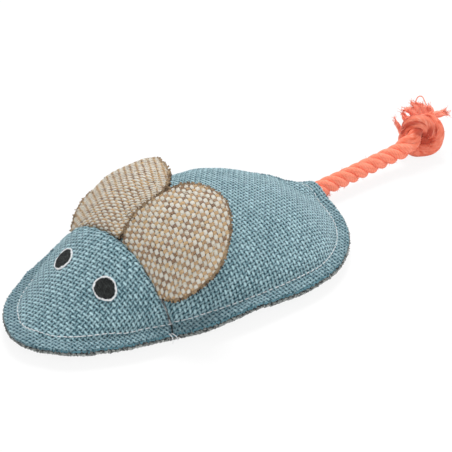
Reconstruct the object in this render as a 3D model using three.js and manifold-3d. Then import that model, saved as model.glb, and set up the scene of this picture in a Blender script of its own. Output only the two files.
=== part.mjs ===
import * as THREE from 'three';
import { mergeVertices } from 'three/addons/utils/BufferGeometryUtils.js';
import Module from 'manifold-3d';

const wasm = await Module();
wasm.setup();

// A stuffed toy mouse of woven cloth with a rope tail.
// Millimetres, +Z up, nose towards -Y, left ear towards +X.
// The origin lies on the table, under the middle of the cloth body.

// Cloth body seen from above: raw edge to raw edge, and the row of stitches inside it
const bodyLength = 165;
const bodyWidth = 102.6;
const seamMargin = 6.5;
const halfOutlineShares = [
  [0, -1], [0.372, -0.898], [0.612, -0.677], [0.745, -0.47], [0.845, -0.305], [0.922, -0.075],
  [0.973, 0.162], [1, 0.359], [0.944, 0.583], [0.733, 0.797], [0.395, 0.947], [0, 1],
];
const aroundCount = 80;

// Cloth and the clearances between what lies on it
const clothThickness = 0.9;
const layerGap = 0.3;
const looseGap = 0.5;
const mergeDistance = 0.001;

// Upper side: how far the crest rises above the sewn edge, from the nose to the tail
const crestRise = 28.8;
const crestStationShares = [-1, -0.947, -0.789, -0.632, -0.46, -0.263, 0, 0.329, 0.658, 0.921, 1];
const crestHeightShares = [0.09, 0.138, 0.41, 0.686, 0.943, 1, 0.926, 0.823, 0.686, 0.403, 0.25];
const acrossPower = 0.643;
const alongPower = 0.598;
const endBluntness = 4;
const domeRingCount = 8;
const ringCrowding = 1.5;
const neckShare = -0.388;

// Underside: it bulges down to the table and lies flat there
const edgeHeight = 4.5;
const restDepth = 0.5;
const bellyPower = 0.38;

// Loose catnip on the base cloth
const catnipLength = 56;
const catnipWidth = 32;
const catnipDepth = 11;
const catnipPlaceShare = 0.12;
const catnipSides = 20;

// Sewing threads
const threadRadius = 0.35;
const threadSides = 5;
const stitchOffset = 0.8;
const neckThreadShare = 0.9;

// Embroidered eyes
const eyeOutFromMiddle = 13.5;
const eyeBackFromNose = 34.2;
const eyeRadius = 5.4;
const eyeRingWidth = 0.8;
const eyeThickness = 0.8;
const eyeSides = 20;

// Ears: a front and a back cloth on the neck seam, bent back over the body
const earWidth = 40;
const earHeight = 39.5;
const earPoses = {
  left: { outFromMiddleShare: 0.43, tilt: 28, lean: 28, bend: 55, sizeShare: 1 },
  right: { outFromMiddleShare: 0.31, tilt: 17, lean: 33, bend: 70, sizeShare: 1.06 },
};
const earFoldHeight = 3.2;
const earFrontRelief = 1.35;
const earBackRelief = 0.6;
const earHemShare = 0.13;
const earRootShares = [-0.33, 0.42];
const earOutlineShares = [
  [-0.37, 0.08], [-0.4, 0.25], [-0.41, 0.4], [-0.405, 0.55], [-0.37, 0.72], [-0.29, 0.87],
  [-0.17, 0.97], [-0.01, 1], [0.14, 0.985], [0.29, 0.9], [0.42, 0.77], [0.52, 0.6],
  [0.575, 0.44], [0.57, 0.3], [0.52, 0.17], [0.44, 0.08],
  [0.35, 0.08], [0.25, 0.08], [0.12, 0.08], [-0.02, 0.08], [-0.16, 0.08], [-0.28, 0.08],
];
const earHemPoints = 16;
const earCentreShares = [0.06, 0.5];
const earRingCount = 5;
const earRootSteps = 10;

// Rope tail: a flattened end in the seam, a free length, an overhand knot and its frayed end
const ropeRadius = 3.9;
const ropeSides = 8;
const ropeStep = 9;
const sewnEndLength = 12;
const sewnEndWidth = 8;
const sewnEndDepth = 5;
const sewnEndSides = 12;
const tailLift = 1.1;
const tailBumpRise = 4.2;
const tailBumpSink = 1.8;
const tailBumpWidth = 7;
const tailBumpReach = 17;
const knotLoopRadius = 6.1;
const knotStrandRadius = 3.7;
const knotTurns = [-32, 38, 84];
const frayLength = 11.5;
const frayTuftRadius = 2.2;
const frayTuftTipShare = 0.4;
const frayTuftSides = 6;
const frayTuftCount = 7;
const frayCollarRadius = 5;
const fraySpread = THREE.MathUtils.degToRad(70);
const frayHeading = [-0.45, 0.3, 0.84];
const tailRoute = [
  [0, 91.1, 6.6], [0.5, 98, 6.8], [1, 108, 7.1],
  [1.5, 118, 7.5], [1.9, 128, 8.2], [2.1, 136, 8.9], [2.1, 139.7, 9.3],
];
const knotPlace = [2.2, 149.9];
const knotSeat = 0.3;

// Heights and lengths that follow from the sizes above
const halfLength = bodyLength / 2;
const partingHeight = edgeHeight + clothThickness + layerGap / 2;
const upperEdge = partingHeight + layerGap / 2 + clothThickness;
const stitchedHalfLength = halfLength - seamMargin;
const neckPlace = neckShare * halfLength;
const eyePlace = eyeBackFromNose - halfLength;
const tailHeight = partingHeight + tailLift;
const knotCentre = new THREE.Vector3(...knotPlace, knotLoopRadius + knotStrandRadius);
const tailPivot = new THREE.Vector3(0, halfLength + layerGap + ropeRadius, tailHeight);

const colours = {
  blueCanvas: ['#6f97a3', 0.95],
  greyCloth: ['#8d9793', 0.95],
  blackThread: ['#25282a', 0.7],
  whiteThread: ['#ecebe9', 0.75],
  earCloth: ['#b8a688', 0.95],
  earBacking: ['#5d4a3a', 0.95],
  ropeCotton: ['#f88a70', 0.9],
  polyesterFibre: ['#f1efe8', 1],
  driedCatnip: ['#7d8150', 1],
};

const group = new THREE.Group();

function add(name, geometry, colour) {
  const [hex, roughness] = colours[colour];
  const material = new THREE.MeshStandardMaterial({ color: hex, roughness, metalness: 0 });
  material.name = colour;
  const mesh = new THREE.Mesh(geometry, material);
  mesh.name = name;
  group.add(mesh);
}

function toSolid(geometry) {
  const bare = geometry.index ? geometry.clone() : geometry;
  bare.deleteAttribute('normal');
  bare.deleteAttribute('uv');
  const merged = mergeVertices(bare, mergeDistance);
  return new wasm.Manifold(new wasm.Mesh({
    numProp: 3,
    vertProperties: new Float32Array(merged.attributes.position.array),
    triVerts: new Uint32Array(merged.index.array),
  }));
}

function toGeometry(solid) {
  const mesh = solid.getMesh();
  const geometry = new THREE.BufferGeometry();
  geometry.setAttribute('position', new THREE.BufferAttribute(mesh.vertProperties, mesh.numProp));
  geometry.setIndex(new THREE.BufferAttribute(mesh.triVerts, 1));
  geometry.computeVertexNormals();
  return geometry;
}

// The largest piece of a cut solid, without the crumbs that a cut leaves
function mainBody(solid) {
  return solid.decompose().reduce((a, b) => (b.volume() > a.volume() ? b : a));
}

function indexedGeometry(points, index) {
  const geometry = new THREE.BufferGeometry();
  geometry.setAttribute('position', new THREE.Float32BufferAttribute(points.flatMap((p) => p.toArray()), 3));
  geometry.setIndex(index);
  geometry.computeVertexNormals();
  return geometry;
}

// A closed body between two stacks of rings. Each stack starts at the shared rim and ends in one point.
function closedBetween(upper, lower, upperPeak, lowerPeak) {
  const count = upper[0].length;
  const points = [];
  const index = [];
  const place = (ring) => points.push(...ring) - ring.length;
  const band = (a, b, inward) => {
    for (let i = 0; i < count; i += 1) {
      const j = (i + 1) % count;
      if (inward) index.push(a + j, a + i, b + j, b + j, a + i, b + i);
      else index.push(a + i, a + j, b + j, a + i, b + j, b + i);
    }
  };
  const upperStarts = upper.map(place);
  const lowerStarts = lower.map(place);
  const peaks = place([upperPeak, lowerPeak]);
  for (let k = 1; k < upper.length; k += 1) band(upperStarts[k - 1], upperStarts[k], false);
  for (let k = 1; k < lower.length; k += 1) band(lowerStarts[k - 1], lowerStarts[k], true);
  band(lowerStarts[0], upperStarts[0], false);
  for (let i = 0; i < count; i += 1) {
    const j = (i + 1) % count;
    index.push(upperStarts.at(-1) + i, upperStarts.at(-1) + j, peaks);
    index.push(lowerStarts.at(-1) + j, lowerStarts.at(-1) + i, peaks + 1);
  }
  return indexedGeometry(points, index);
}

// A round tube through given points, with flat ends unless it closes on itself
function tubeThrough(points, radius, sides, closed) {
  const count = points.length;
  const rings = points.map((point, i) => {
    const before = points[closed ? (i + count - 1) % count : Math.max(i - 1, 0)];
    const after = points[closed ? (i + 1) % count : Math.min(i + 1, count - 1)];
    const along = after.clone().sub(before).normalize();
    const aside = new THREE.Vector3(0, 0, 1).cross(along).normalize();
    const over = along.clone().cross(aside);
    return Array.from({ length: sides }, (_, k) => {
      const turn = (2 * Math.PI * k) / sides;
      return point.clone()
        .addScaledVector(aside, radius * Math.cos(turn))
        .addScaledVector(over, radius * Math.sin(turn));
    });
  });
  const index = [];
  for (let i = 0; i < (closed ? count : count - 1); i += 1) {
    const a = i * sides;
    const b = ((i + 1) % count) * sides;
    for (let k = 0; k < sides; k += 1) {
      const m = (k + 1) % sides;
      index.push(a + k, a + m, b + m, a + k, b + m, b + k);
    }
  }
  if (!closed) {
    const last = (count - 1) * sides;
    for (let k = 1; k < sides - 1; k += 1) {
      index.push(0, k + 1, k);
      index.push(last, last + k, last + k + 1);
    }
  }
  return indexedGeometry(rings.flat(), index);
}

// The raw edge of the cloth, nose first, then up the left side to the tail and back down the right
function rawEdge() {
  const side = halfOutlineShares.map(([x, y]) => new THREE.Vector3(x * bodyWidth / 2, y * halfLength, 0));
  const otherSide = side.slice(1, -1).reverse().map((p) => new THREE.Vector3(-p.x, p.y, 0));
  return new THREE.CatmullRomCurve3([...side, ...otherSide], true, 'centripetal');
}

const edgePoints = rawEdge().getSpacedPoints(aroundCount).slice(0, -1);

function bodyRing(inset) {
  return edgePoints.map((point, i) => {
    const before = edgePoints[(i + aroundCount - 1) % aroundCount];
    const after = edgePoints[(i + 1) % aroundCount];
    const along = after.clone().sub(before).normalize();
    return new THREE.Vector3(point.x - along.y * inset, point.y + along.x * inset, 0);
  });
}

function halfWidthAt(ring, y) {
  for (let i = 0; i < aroundCount / 2; i += 1) {
    const [a, b] = [ring[i], ring[i + 1]];
    if (y >= a.y && y <= b.y) return a.x + (b.x - a.x) * (y - a.y) / (b.y - a.y);
  }
  return 0;
}

const crestCurve = new THREE.CubicInterpolant(crestStationShares, crestHeightShares, 1);

// 1 along the middle line, 0 at the row of stitches
function fullness(ring, x, y) {
  const width = halfWidthAt(ring, y);
  const across = width > 0 ? Math.max(0, 1 - (x / width) ** 2) : 0;
  const along = Math.max(0, 1 - (y / ring[aroundCount / 2].y) ** endBluntness);
  return { across, along };
}

// The bulge in the sewn edge over and under the end of the rope, from 0 to 1
function tailBump(x, y) {
  const along = THREE.MathUtils.smoothstep(y, halfLength - tailBumpReach, halfLength - seamMargin);
  return Math.exp(-((x / tailBumpWidth) ** 2)) * along;
}

function upperEdgeAt(x, y) {
  return upperEdge + tailBumpRise * tailBump(x, y);
}

function lowerEdgeAt(x, y) {
  return edgeHeight - tailBumpSink * tailBump(x, y);
}

function upperHeight(ring, inset, x, y) {
  const { across, along } = fullness(ring, x, y);
  const share = THREE.MathUtils.clamp(y / stitchedHalfLength, -1, 1);
  const rise = crestRise * crestCurve.evaluate(share)[0];
  return upperEdgeAt(x, y) - inset + rise * across ** acrossPower * along ** alongPower;
}

function lowerHeight(ring, inset, x, y) {
  const { across, along } = fullness(ring, x, y);
  const sag = (edgeHeight + restDepth) * (across * along) ** bellyPower;
  return Math.max(lowerEdgeAt(x, y) + inset - sag, inset);
}

function domeRings(height, inset, firstRing) {
  const ring = bodyRing(seamMargin + inset);
  const rings = [];
  for (let k = firstRing; k < domeRingCount; k += 1) {
    const share = 1 - (k / domeRingCount) ** ringCrowding;
    rings.push(ring.map((p) => {
      const [x, y] = [p.x * share, p.y * share];
      return new THREE.Vector3(x, y, height(ring, inset, x, y));
    }));
  }
  const peak = new THREE.Vector3(0, 0, height(ring, inset, 0, 0));
  return { rings, peak };
}

function flatRing(inset, height) {
  return bodyRing(inset).map((p) => new THREE.Vector3(p.x, p.y, height(p.x, p.y)));
}

function upperCloth() {
  const outside = domeRings(upperHeight, 0, 0);
  const inside = domeRings(upperHeight, clothThickness, 0);
  const top = flatRing(0, upperEdgeAt);
  const bottom = flatRing(0, (x, y) => upperEdgeAt(x, y) - clothThickness);
  return toSolid(closedBetween(
    [top, ...outside.rings], [bottom, ...inside.rings], outside.peak, inside.peak,
  ));
}

function baseCloth() {
  const outside = domeRings(lowerHeight, 0, 0);
  const inside = domeRings(lowerHeight, clothThickness, 0);
  const bottom = flatRing(0, lowerEdgeAt);
  const top = flatRing(0, (x, y) => lowerEdgeAt(x, y) + clothThickness);
  return toSolid(closedBetween(
    [top, ...inside.rings], [bottom, ...outside.rings], inside.peak, outside.peak,
  ));
}

function fillingBlock() {
  const inset = clothThickness + looseGap;
  const above = domeRings(upperHeight, inset, 1);
  const below = domeRings(lowerHeight, inset, 1);
  return toSolid(closedBetween(above.rings, below.rings, above.peak, below.peak));
}

// Half an ellipsoid that lies on the base cloth, or the space it takes in the filling
function catnipHeap(clearance) {
  const floor = clothThickness + layerGap;
  const heap = new THREE.SphereGeometry(1, catnipSides, catnipSides / 2);
  heap.rotateX(Math.PI / 2);
  heap.scale(catnipWidth / 2 + clearance, catnipLength / 2 + clearance, catnipDepth + clearance);
  heap.translate(0, catnipPlaceShare * halfLength, floor);
  const solid = toSolid(heap);
  return clearance > 0 ? solid : solid.trimByPlane([0, 0, 1], floor);
}

function sewnEnd(clearance) {
  const end = new THREE.CylinderGeometry(1, 1, 1, sewnEndSides);
  end.scale(sewnEndWidth / 2 + clearance, sewnEndLength + 2 * clearance, sewnEndDepth / 2 + clearance);
  end.translate(0, halfLength - layerGap - sewnEndLength / 2, tailHeight);
  return toSolid(end);
}

const seamRing = bodyRing(seamMargin);

// Frame of one ear at the top of its seam: along the seam, away from the body, and back.
// Both ears are made on the left side, and the right one is mirrored.
function earFrame({ outFromMiddleShare, tilt, lean, bend, sizeShare }) {
  const turn = THREE.MathUtils.degToRad(tilt);
  const outFromMiddle = outFromMiddleShare * earWidth;
  const seamHeight = upperHeight(seamRing, 0, outFromMiddle, neckPlace);
  const width = earWidth * sizeShare;
  const height = earHeight * sizeShare;
  return {
    width,
    height,
    outline: earOutlineShares.map(([s, t]) => [s * width, t * height]),
    centre: [earCentreShares[0] * width, earCentreShares[1] * height],
    seat: new THREE.Vector3(outFromMiddle, neckPlace, seamHeight),
    along: new THREE.Vector3(Math.cos(turn), 0, -Math.sin(turn)),
    outward: new THREE.Vector3(Math.sin(turn), 0, Math.cos(turn)),
    backward: new THREE.Vector3(0, 1, 0),
    lean: THREE.MathUtils.degToRad(lean),
    bendRate: THREE.MathUtils.degToRad(bend) / height,
    drops: new Map(),
  };
}

// How far the seam lies below the straight line through the ear's seat
function seamDrop(frame, place) {
  const [inner, outer] = earRootShares.map((share) => share * frame.width);
  const s = THREE.MathUtils.clamp(place, inner, outer);
  if (frame.drops.has(s)) return frame.drops.get(s);
  let [least, most] = [-earWidth, earWidth];
  while (most - least > mergeDistance) {
    const middle = (least + most) / 2;
    const p = frame.seat.clone().addScaledVector(frame.along, s).addScaledVector(frame.outward, -middle);
    if (p.z > upperHeight(seamRing, 0, p.x, neckPlace)) least = middle;
    else most = middle;
  }
  frame.drops.set(s, least);
  return least;
}

// A point of the ear's middle layer: s along the seam, t up the ear from the seam
function earMiddle(frame, s, t) {
  const { lean: start, bendRate } = frame;
  const lean = start + bendRate * Math.max(t, 0);
  const up = Math.min(t, 0) + (Math.sin(lean) - Math.sin(start)) / bendRate;
  const back = (Math.cos(start) - Math.cos(lean)) / bendRate;
  return frame.seat.clone()
    .addScaledVector(frame.along, s)
    .addScaledVector(frame.outward, up - seamDrop(frame, s))
    .addScaledVector(frame.backward, back);
}

// The same point lifted off the middle layer, towards the front of the ear
function earPoint(frame, s, t, lift) {
  const facing = frame.backward.clone().negate();
  if (t >= 0) {
    const step = earFoldHeight / earRootSteps;
    const acrossEar = earMiddle(frame, s + step, t).sub(earMiddle(frame, s - step, t));
    const upEar = earMiddle(frame, s, t + step).sub(earMiddle(frame, s, t));
    const normal = acrossEar.cross(upEar).normalize();
    if (t > 0) facing.set(0, 0, 0);
    facing.add(normal).normalize();
  }
  return earMiddle(frame, s, t).addScaledVector(facing, lift);
}

function earLeaf(frame, low, high) {
  const outline = frame.outline.map(([s, t]) => [s, Math.max(t, earFoldHeight)]);
  const { centre } = frame;
  const stack = (lift) => {
    const rings = [];
    for (let k = 0; k < earRingCount; k += 1) {
      const share = 1 - k / earRingCount;
      rings.push(outline.map(([s, t]) => earPoint(
        frame, centre[0] + (s - centre[0]) * share, centre[1] + (t - centre[1]) * share, lift,
      )).reverse());
    }
    return { rings, peak: earPoint(frame, centre[0], centre[1], lift) };
  };
  const upper = stack(high);
  const lower = stack(low);
  return closedBetween(upper.rings, lower.rings, upper.peak, lower.peak);
}

// The cloth between the seam and the fold of the ear, or the slot that it needs
function earRoot(frame, low, high, relief, clearance) {
  const [from, to] = earRootShares.map((share) => share * frame.width);
  const levels = [-clothThickness - clearance, 0, earFoldHeight - relief + clearance];
  const row = (lift, t) => Array.from({ length: earRootSteps + 1 }, (_, i) => {
    const s = from - clearance + (to - from + 2 * clearance) * i / earRootSteps;
    return earPoint(frame, s, t, lift);
  });
  const rings = levels.map((t) => [...row(low - clearance, t), ...row(high + clearance, t).reverse()]);
  const count = rings[0].length;
  const top = (rings.length - 1) * count;
  const index = [];
  for (let k = 1; k < rings.length; k += 1) {
    const [a, b] = [(k - 1) * count, k * count];
    for (let i = 0; i < count; i += 1) {
      const j = (i + 1) % count;
      index.push(a + i, b + j, a + j, a + i, b + i, b + j);
    }
  }
  for (let i = 0; i < earRootSteps; i += 1) {
    const [m, n] = [count - 1 - i, count - 2 - i];
    index.push(i, i + 1, m, i + 1, n, m);
    index.push(top + i, top + m, top + i + 1, top + i + 1, top + m, top + n);
  }
  return indexedGeometry(rings.flat(), index);
}

function mirrored(geometry) {
  const copy = geometry.clone();
  copy.scale(-1, 1, 1);
  const index = copy.index.array;
  for (let i = 0; i < index.length; i += 3) [index[i], index[i + 1]] = [index[i + 1], index[i]];
  copy.computeVertexNormals();
  return copy;
}

function addPair(partName, detail, geometry, colour) {
  add(`${partName}_left_${detail}`, geometry, colour);
  add(`${partName}_right_${detail}`, mirrored(geometry), colour);
}

const frontLayer = [layerGap / 2, layerGap / 2 + clothThickness];
const backLayer = [-frontLayer[1], -frontLayer[0]];

function earSlots() {
  const slot = (pose) => toSolid(earRoot(earFrame(pose), backLayer[0], frontLayer[1], 0, layerGap));
  return slot(earPoses.left).add(slot(earPoses.right).mirror([1, 0, 0]));
}

function makeBody() {
  const slots = earSlots();
  const cover = upperCloth().subtract(slots);
  const seamHalfGap = layerGap / 2;
  const head = cover.trimByPlane([0, -1, 0], seamHalfGap - neckPlace);
  const back = cover.trimByPlane([0, 1, 0], seamHalfGap + neckPlace);
  add('head_panel', toGeometry(mainBody(head)), 'blueCanvas');
  add('back_panel', toGeometry(mainBody(back)), 'blueCanvas');
  add('base_panel', toGeometry(baseCloth()), 'greyCloth');
  const grooveRadius = threadRadius + layerGap + looseGap;
  const groove = toSolid(tubeThrough(neckThreadPoints(), grooveRadius, ropeSides, false));
  const filling = fillingBlock()
    .subtract(slots)
    .subtract(groove)
    .subtract(catnipHeap(layerGap))
    .subtract(sewnEnd(layerGap));
  add('fibre_filling', toGeometry(filling), 'polyesterFibre');
  add('catnip_filling', toGeometry(catnipHeap(0)), 'driedCatnip');
}

// The neck seam's thread runs inside, under the cloth of the seam
function neckThreadPoints() {
  const inset = clothThickness + layerGap + threadRadius;
  const ring = bodyRing(seamMargin + inset);
  const reach = halfWidthAt(ring, neckPlace);
  const count = earRootSteps * 2;
  return Array.from({ length: count + 1 }, (_, i) => {
    const x = reach * Math.sin((i / count - 0.5) * Math.PI * neckThreadShare);
    return new THREE.Vector3(x, neckPlace, upperHeight(ring, inset, x, neckPlace) - looseGap);
  });
}

function makeSeams() {
  const row = bodyRing(seamMargin - stitchOffset);
  const above = layerGap + threadRadius;
  const top = row.map((p) => new THREE.Vector3(p.x, p.y, upperEdgeAt(p.x, p.y) + above));
  const bottom = row.map((p) => new THREE.Vector3(p.x, p.y, lowerEdgeAt(p.x, p.y) - above));
  add('edge_stitching_top', tubeThrough(top, threadRadius, threadSides, true), 'whiteThread');
  add('edge_stitching_bottom', tubeThrough(bottom, threadRadius, threadSides, true), 'whiteThread');
  const neck = tubeThrough(neckThreadPoints(), threadRadius, threadSides, false);
  add('neck_seam_stitching', neck, 'whiteThread');
}

// A disc or a ring that lies on the head, following its swell
function headPatch(innerRadius, outerRadius) {
  const at = (x, y, lift) => {
    const step = eyeThickness / eyeSides;
    const z = upperHeight(seamRing, 0, x, y);
    const slopeX = (upperHeight(seamRing, 0, x + step, y) - z) / step;
    const slopeY = (upperHeight(seamRing, 0, x, y + step) - z) / step;
    const normal = new THREE.Vector3(-slopeX, -slopeY, 1).normalize();
    return { point: new THREE.Vector3(x, y, z).addScaledVector(normal, lift), normal };
  };
  const { normal } = at(eyeOutFromMiddle, eyePlace, 0);
  const aside = new THREE.Vector3(0, 0, 1).cross(normal).normalize();
  const up = normal.clone().cross(aside);
  const ring = (radius, lift) => Array.from({ length: eyeSides }, (_, k) => {
    const turn = (2 * Math.PI * k) / eyeSides;
    const x = eyeOutFromMiddle + radius * (Math.cos(turn) * aside.x + Math.sin(turn) * up.x);
    const y = eyePlace + radius * (Math.cos(turn) * aside.y + Math.sin(turn) * up.y);
    return at(x, y, lift).point;
  });
  const [low, high] = [layerGap, layerGap + eyeThickness];
  if (innerRadius === 0) {
    const peak = (lift) => at(eyeOutFromMiddle, eyePlace, lift).point;
    return closedBetween(
      [ring(outerRadius, high), ring(outerRadius / 2, high)],
      [ring(outerRadius, low), ring(outerRadius / 2, low)], peak(high), peak(low),
    );
  }
  return loopOfRings([
    ring(outerRadius, low), ring(outerRadius, high), ring(innerRadius, high), ring(innerRadius, low),
  ]);
}

function loopOfRings(rings) {
  const count = rings[0].length;
  const index = [];
  for (let k = 0; k < rings.length; k += 1) {
    const [a, b] = [k * count, ((k + 1) % rings.length) * count];
    for (let i = 0; i < count; i += 1) {
      const j = (i + 1) % count;
      index.push(a + i, a + j, b + j, a + i, b + j, b + i);
    }
  }
  return indexedGeometry(rings.flat(), index);
}

function makeEyes() {
  const inner = eyeRadius - eyeRingWidth;
  addPair('eye', 'white', headPatch(inner, eyeRadius), 'whiteThread');
  addPair('eye', 'black', headPatch(0, inner - layerGap), 'blackThread');
}

function earThreadPoints(frame) {
  const lift = frontLayer[1] + looseGap + threadRadius;
  const hem = earHemShare * earWidth;
  const { centre } = frame;
  const line = new THREE.CatmullRomCurve3(frame.outline.slice(0, earHemPoints).map(([s, t]) => {
    const [ds, dt] = [s - centre[0], t - centre[1]];
    const shrink = 1 - hem / Math.hypot(ds, dt);
    return new THREE.Vector3(centre[0] + ds * shrink, centre[1] + dt * shrink, 0);
  }));
  return line.getSpacedPoints(earHemPoints * 2).map((p) => earPoint(frame, p.x, p.y, lift));
}

function makeEar(side) {
  const frame = earFrame(earPoses[side]);
  const place = (detail, geometry, colour) => {
    add(`ear_${side}_${detail}`, side === 'left' ? geometry : mirrored(geometry), colour);
  };
  place('root_front', earRoot(frame, ...frontLayer, earFrontRelief, 0), 'earCloth');
  place('root_back', earRoot(frame, ...backLayer, earBackRelief, 0), 'earBacking');
  place('front', earLeaf(frame, ...frontLayer), 'earCloth');
  place('back', earLeaf(frame, ...backLayer), 'earBacking');
  place('stitching', tubeThrough(earThreadPoints(frame), threadRadius, threadSides, false), 'whiteThread');
}

function makeTail() {
  add('tail_sewn_end', toGeometry(sewnEnd(0)), 'ropeCotton');
  const ball = new THREE.SphereGeometry(ropeRadius, ropeSides * 2, ropeSides);
  ball.translate(tailPivot.x, tailPivot.y, tailPivot.z);
  add('tail_base', toGeometry(toSolid(ball)), 'ropeCotton');
  const route = new THREE.CatmullRomCurve3(tailRoute.map((p) => new THREE.Vector3(...p)));
  const steps = Math.round(route.getLength() / ropeStep);
  add('tail_rope', tubeThrough(route.getSpacedPoints(steps), ropeRadius, ropeSides, false), 'ropeCotton');
  const [ropeX, ropeY, ropeZ] = tailRoute.at(-1);
  const throat = new THREE.CylinderGeometry(ropeRadius, ropeRadius, knotCentre.y - ropeY, ropeSides);
  throat.translate(ropeX, (knotCentre.y + ropeY) / 2, ropeZ);
  const knot = knotShape(0).add(toSolid(throat)).trimByPlane([0, 1, 0], ropeY + 2 * knotSeat);
  add('tail_knot', toGeometry(knot), 'ropeCotton');
  add('tail_fray', toGeometry(fraySolid()), 'ropeCotton');
}

// An overhand knot: strands that loop round each other, joined where they touch
function knotShape(clearance) {
  const loops = knotTurns.map((turn, i) => {
    const thick = knotStrandRadius + clearance;
    const loop = new THREE.TorusGeometry(knotLoopRadius, thick, ropeSides, ropeSides * 2);
    loop.rotateX(Math.PI / 2);
    loop.rotateY(THREE.MathUtils.degToRad(turn));
    loop.rotateZ(THREE.MathUtils.degToRad(turn * (i + 1) / 2));
    return toSolid(loop);
  });
  const core = toSolid(new THREE.SphereGeometry(knotLoopRadius, ropeSides * 2, ropeSides));
  return loops.reduce((sum, loop) => sum.add(loop), core).translate(knotCentre.toArray());
}

// Loosened yarns on top of the knot, spread like a brush from a tight collar
function fraySolid() {
  const heading = new THREE.Vector3(...frayHeading).normalize();
  const upright = new THREE.Quaternion().setFromUnitVectors(new THREE.Vector3(0, 1, 0), heading);
  const tufts = Array.from({ length: frayTuftCount }, (_, i) => {
    const turn = (2 * Math.PI * i) / frayTuftCount;
    const tip = frayTuftRadius * frayTuftTipShare;
    const tuft = new THREE.CylinderGeometry(tip, frayTuftRadius, frayLength, frayTuftSides);
    tuft.translate(0, frayLength / 2, 0);
    tuft.rotateX(fraySpread * Math.cos(turn));
    tuft.rotateZ(fraySpread * Math.sin(turn));
    tuft.applyQuaternion(upright);
    return toSolid(tuft);
  });
  const collar = toSolid(new THREE.SphereGeometry(frayCollarRadius, ropeSides * 2, ropeSides));
  const joined = tufts.reduce((sum, tuft) => sum.add(tuft), collar);
  const start = knotCentre.clone().addScaledVector(heading, knotLoopRadius + knotStrandRadius / 2);
  return mainBody(joined.translate(start.toArray()).subtract(knotShape(knotSeat)));
}

makeBody();
makeSeams();
makeEyes();
makeEar('left');
makeEar('right');
makeTail();

export default group;
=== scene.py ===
import bpy
import math
import numpy as np
from mathutils import Matrix, Vector
from mathutils.geometry import delaunay_2d_cdt


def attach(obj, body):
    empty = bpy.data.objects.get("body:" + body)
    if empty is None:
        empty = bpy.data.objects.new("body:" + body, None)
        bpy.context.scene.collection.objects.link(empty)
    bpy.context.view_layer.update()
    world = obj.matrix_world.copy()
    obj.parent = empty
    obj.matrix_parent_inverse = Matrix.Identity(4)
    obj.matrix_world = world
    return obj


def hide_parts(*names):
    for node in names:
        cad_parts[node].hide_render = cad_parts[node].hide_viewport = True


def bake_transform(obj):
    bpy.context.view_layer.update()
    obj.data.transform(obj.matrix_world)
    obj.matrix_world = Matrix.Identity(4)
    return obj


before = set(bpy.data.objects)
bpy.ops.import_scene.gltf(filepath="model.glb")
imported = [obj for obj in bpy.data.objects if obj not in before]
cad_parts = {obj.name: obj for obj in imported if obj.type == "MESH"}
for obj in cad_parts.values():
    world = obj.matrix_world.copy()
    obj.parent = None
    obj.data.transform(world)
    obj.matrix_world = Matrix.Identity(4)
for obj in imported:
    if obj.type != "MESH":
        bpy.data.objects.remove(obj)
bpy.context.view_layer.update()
mm = 0.001
print("frame loaded")

camera = {
    "azimuth": 49, "elevation": 34.7, "distance": 700, "turn": (0.03035, 0.0280),
    "lens": 133.6, "sensor": 36, "clip": (0.01, 20),
}


def makeCamera(c):
    a, e = math.radians(c["azimuth"]), math.radians(c["elevation"])
    back = Vector((math.sin(a) * math.cos(e), -math.cos(a) * math.cos(e), math.sin(e)))
    right = Vector((math.cos(a), math.sin(a), 0))
    up = back.cross(right)
    aim = (right * c["turn"][0] + up * c["turn"][1] - back).normalized()
    data = bpy.data.cameras.new("photoCamera")
    data.lens, data.sensor_width = c["lens"], c["sensor"]
    data.clip_start, data.clip_end = c["clip"]
    cam = bpy.data.objects.new("photoCamera", data)
    cam.location = back * c["distance"] * mm
    side = aim.cross(up).normalized()
    top = side.cross(aim)
    cam.rotation_mode = "QUATERNION"
    cam.rotation_quaternion = Matrix((side, top, -aim)).transposed().to_quaternion()
    bpy.context.collection.objects.link(cam)
    bpy.context.scene.camera = cam


makeCamera(camera)


class Value:
    # a number socket that takes part in Python sums
    def __init__(self, tree, socket):
        self.tree, self.socket = tree, socket

    def calc(self, kind, *others):
        node = self.tree.nodes.new("ShaderNodeMath")
        node.operation = kind
        for slot, item in zip(node.inputs, others):
            feed(self.tree, item, slot)
        return Value(self.tree, node.outputs[0])

    def __add__(self, o):
        return self.calc("ADD", self, o)

    __radd__ = __add__

    def __sub__(self, o):
        return self.calc("SUBTRACT", self, o)

    def __rsub__(self, o):
        return self.calc("SUBTRACT", o, self)

    def __mul__(self, o):
        return self.calc("MULTIPLY", self, o)

    __rmul__ = __mul__

    def __truediv__(self, o):
        return self.calc("DIVIDE", self, o)

    def __rtruediv__(self, o):
        return self.calc("DIVIDE", o, self)

    def __pow__(self, o):
        return self.calc("POWER", self, o)

    def __mod__(self, o):
        return self.calc("FLOORED_MODULO", self, o)

    def __neg__(self):
        return self.calc("MULTIPLY", self, -1)

    def __abs__(self):
        return self.calc("ABSOLUTE", self)

    def floor(self):
        return self.calc("FLOOR", self)

    def cos(self):
        return self.calc("COSINE", self)

    def above(self, o):
        return self.calc("GREATER_THAN", self, o)

    def most(self, o):
        return self.calc("MAXIMUM", self, o)

    def spread(self, low, high, to=(0, 1)):
        return Value(self.tree, addNode(self.tree, "ShaderNodeMapRange", {"clamp": True}, {
            "Value": self, "From Min": low, "From Max": high, "To Min": to[0], "To Max": to[1]}).outputs[0])


def feed(tree, item, slot):
    # a link from a value or a socket, or else the slot's own setting
    item = item.socket if isinstance(item, Value) else item
    if isinstance(item, bpy.types.NodeSocket):
        tree.links.new(item, slot)
    elif slot.type == "RGBA" and len(item) == 3:
        slot.default_value = (*item, 1)
    else:
        slot.default_value = item


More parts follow.
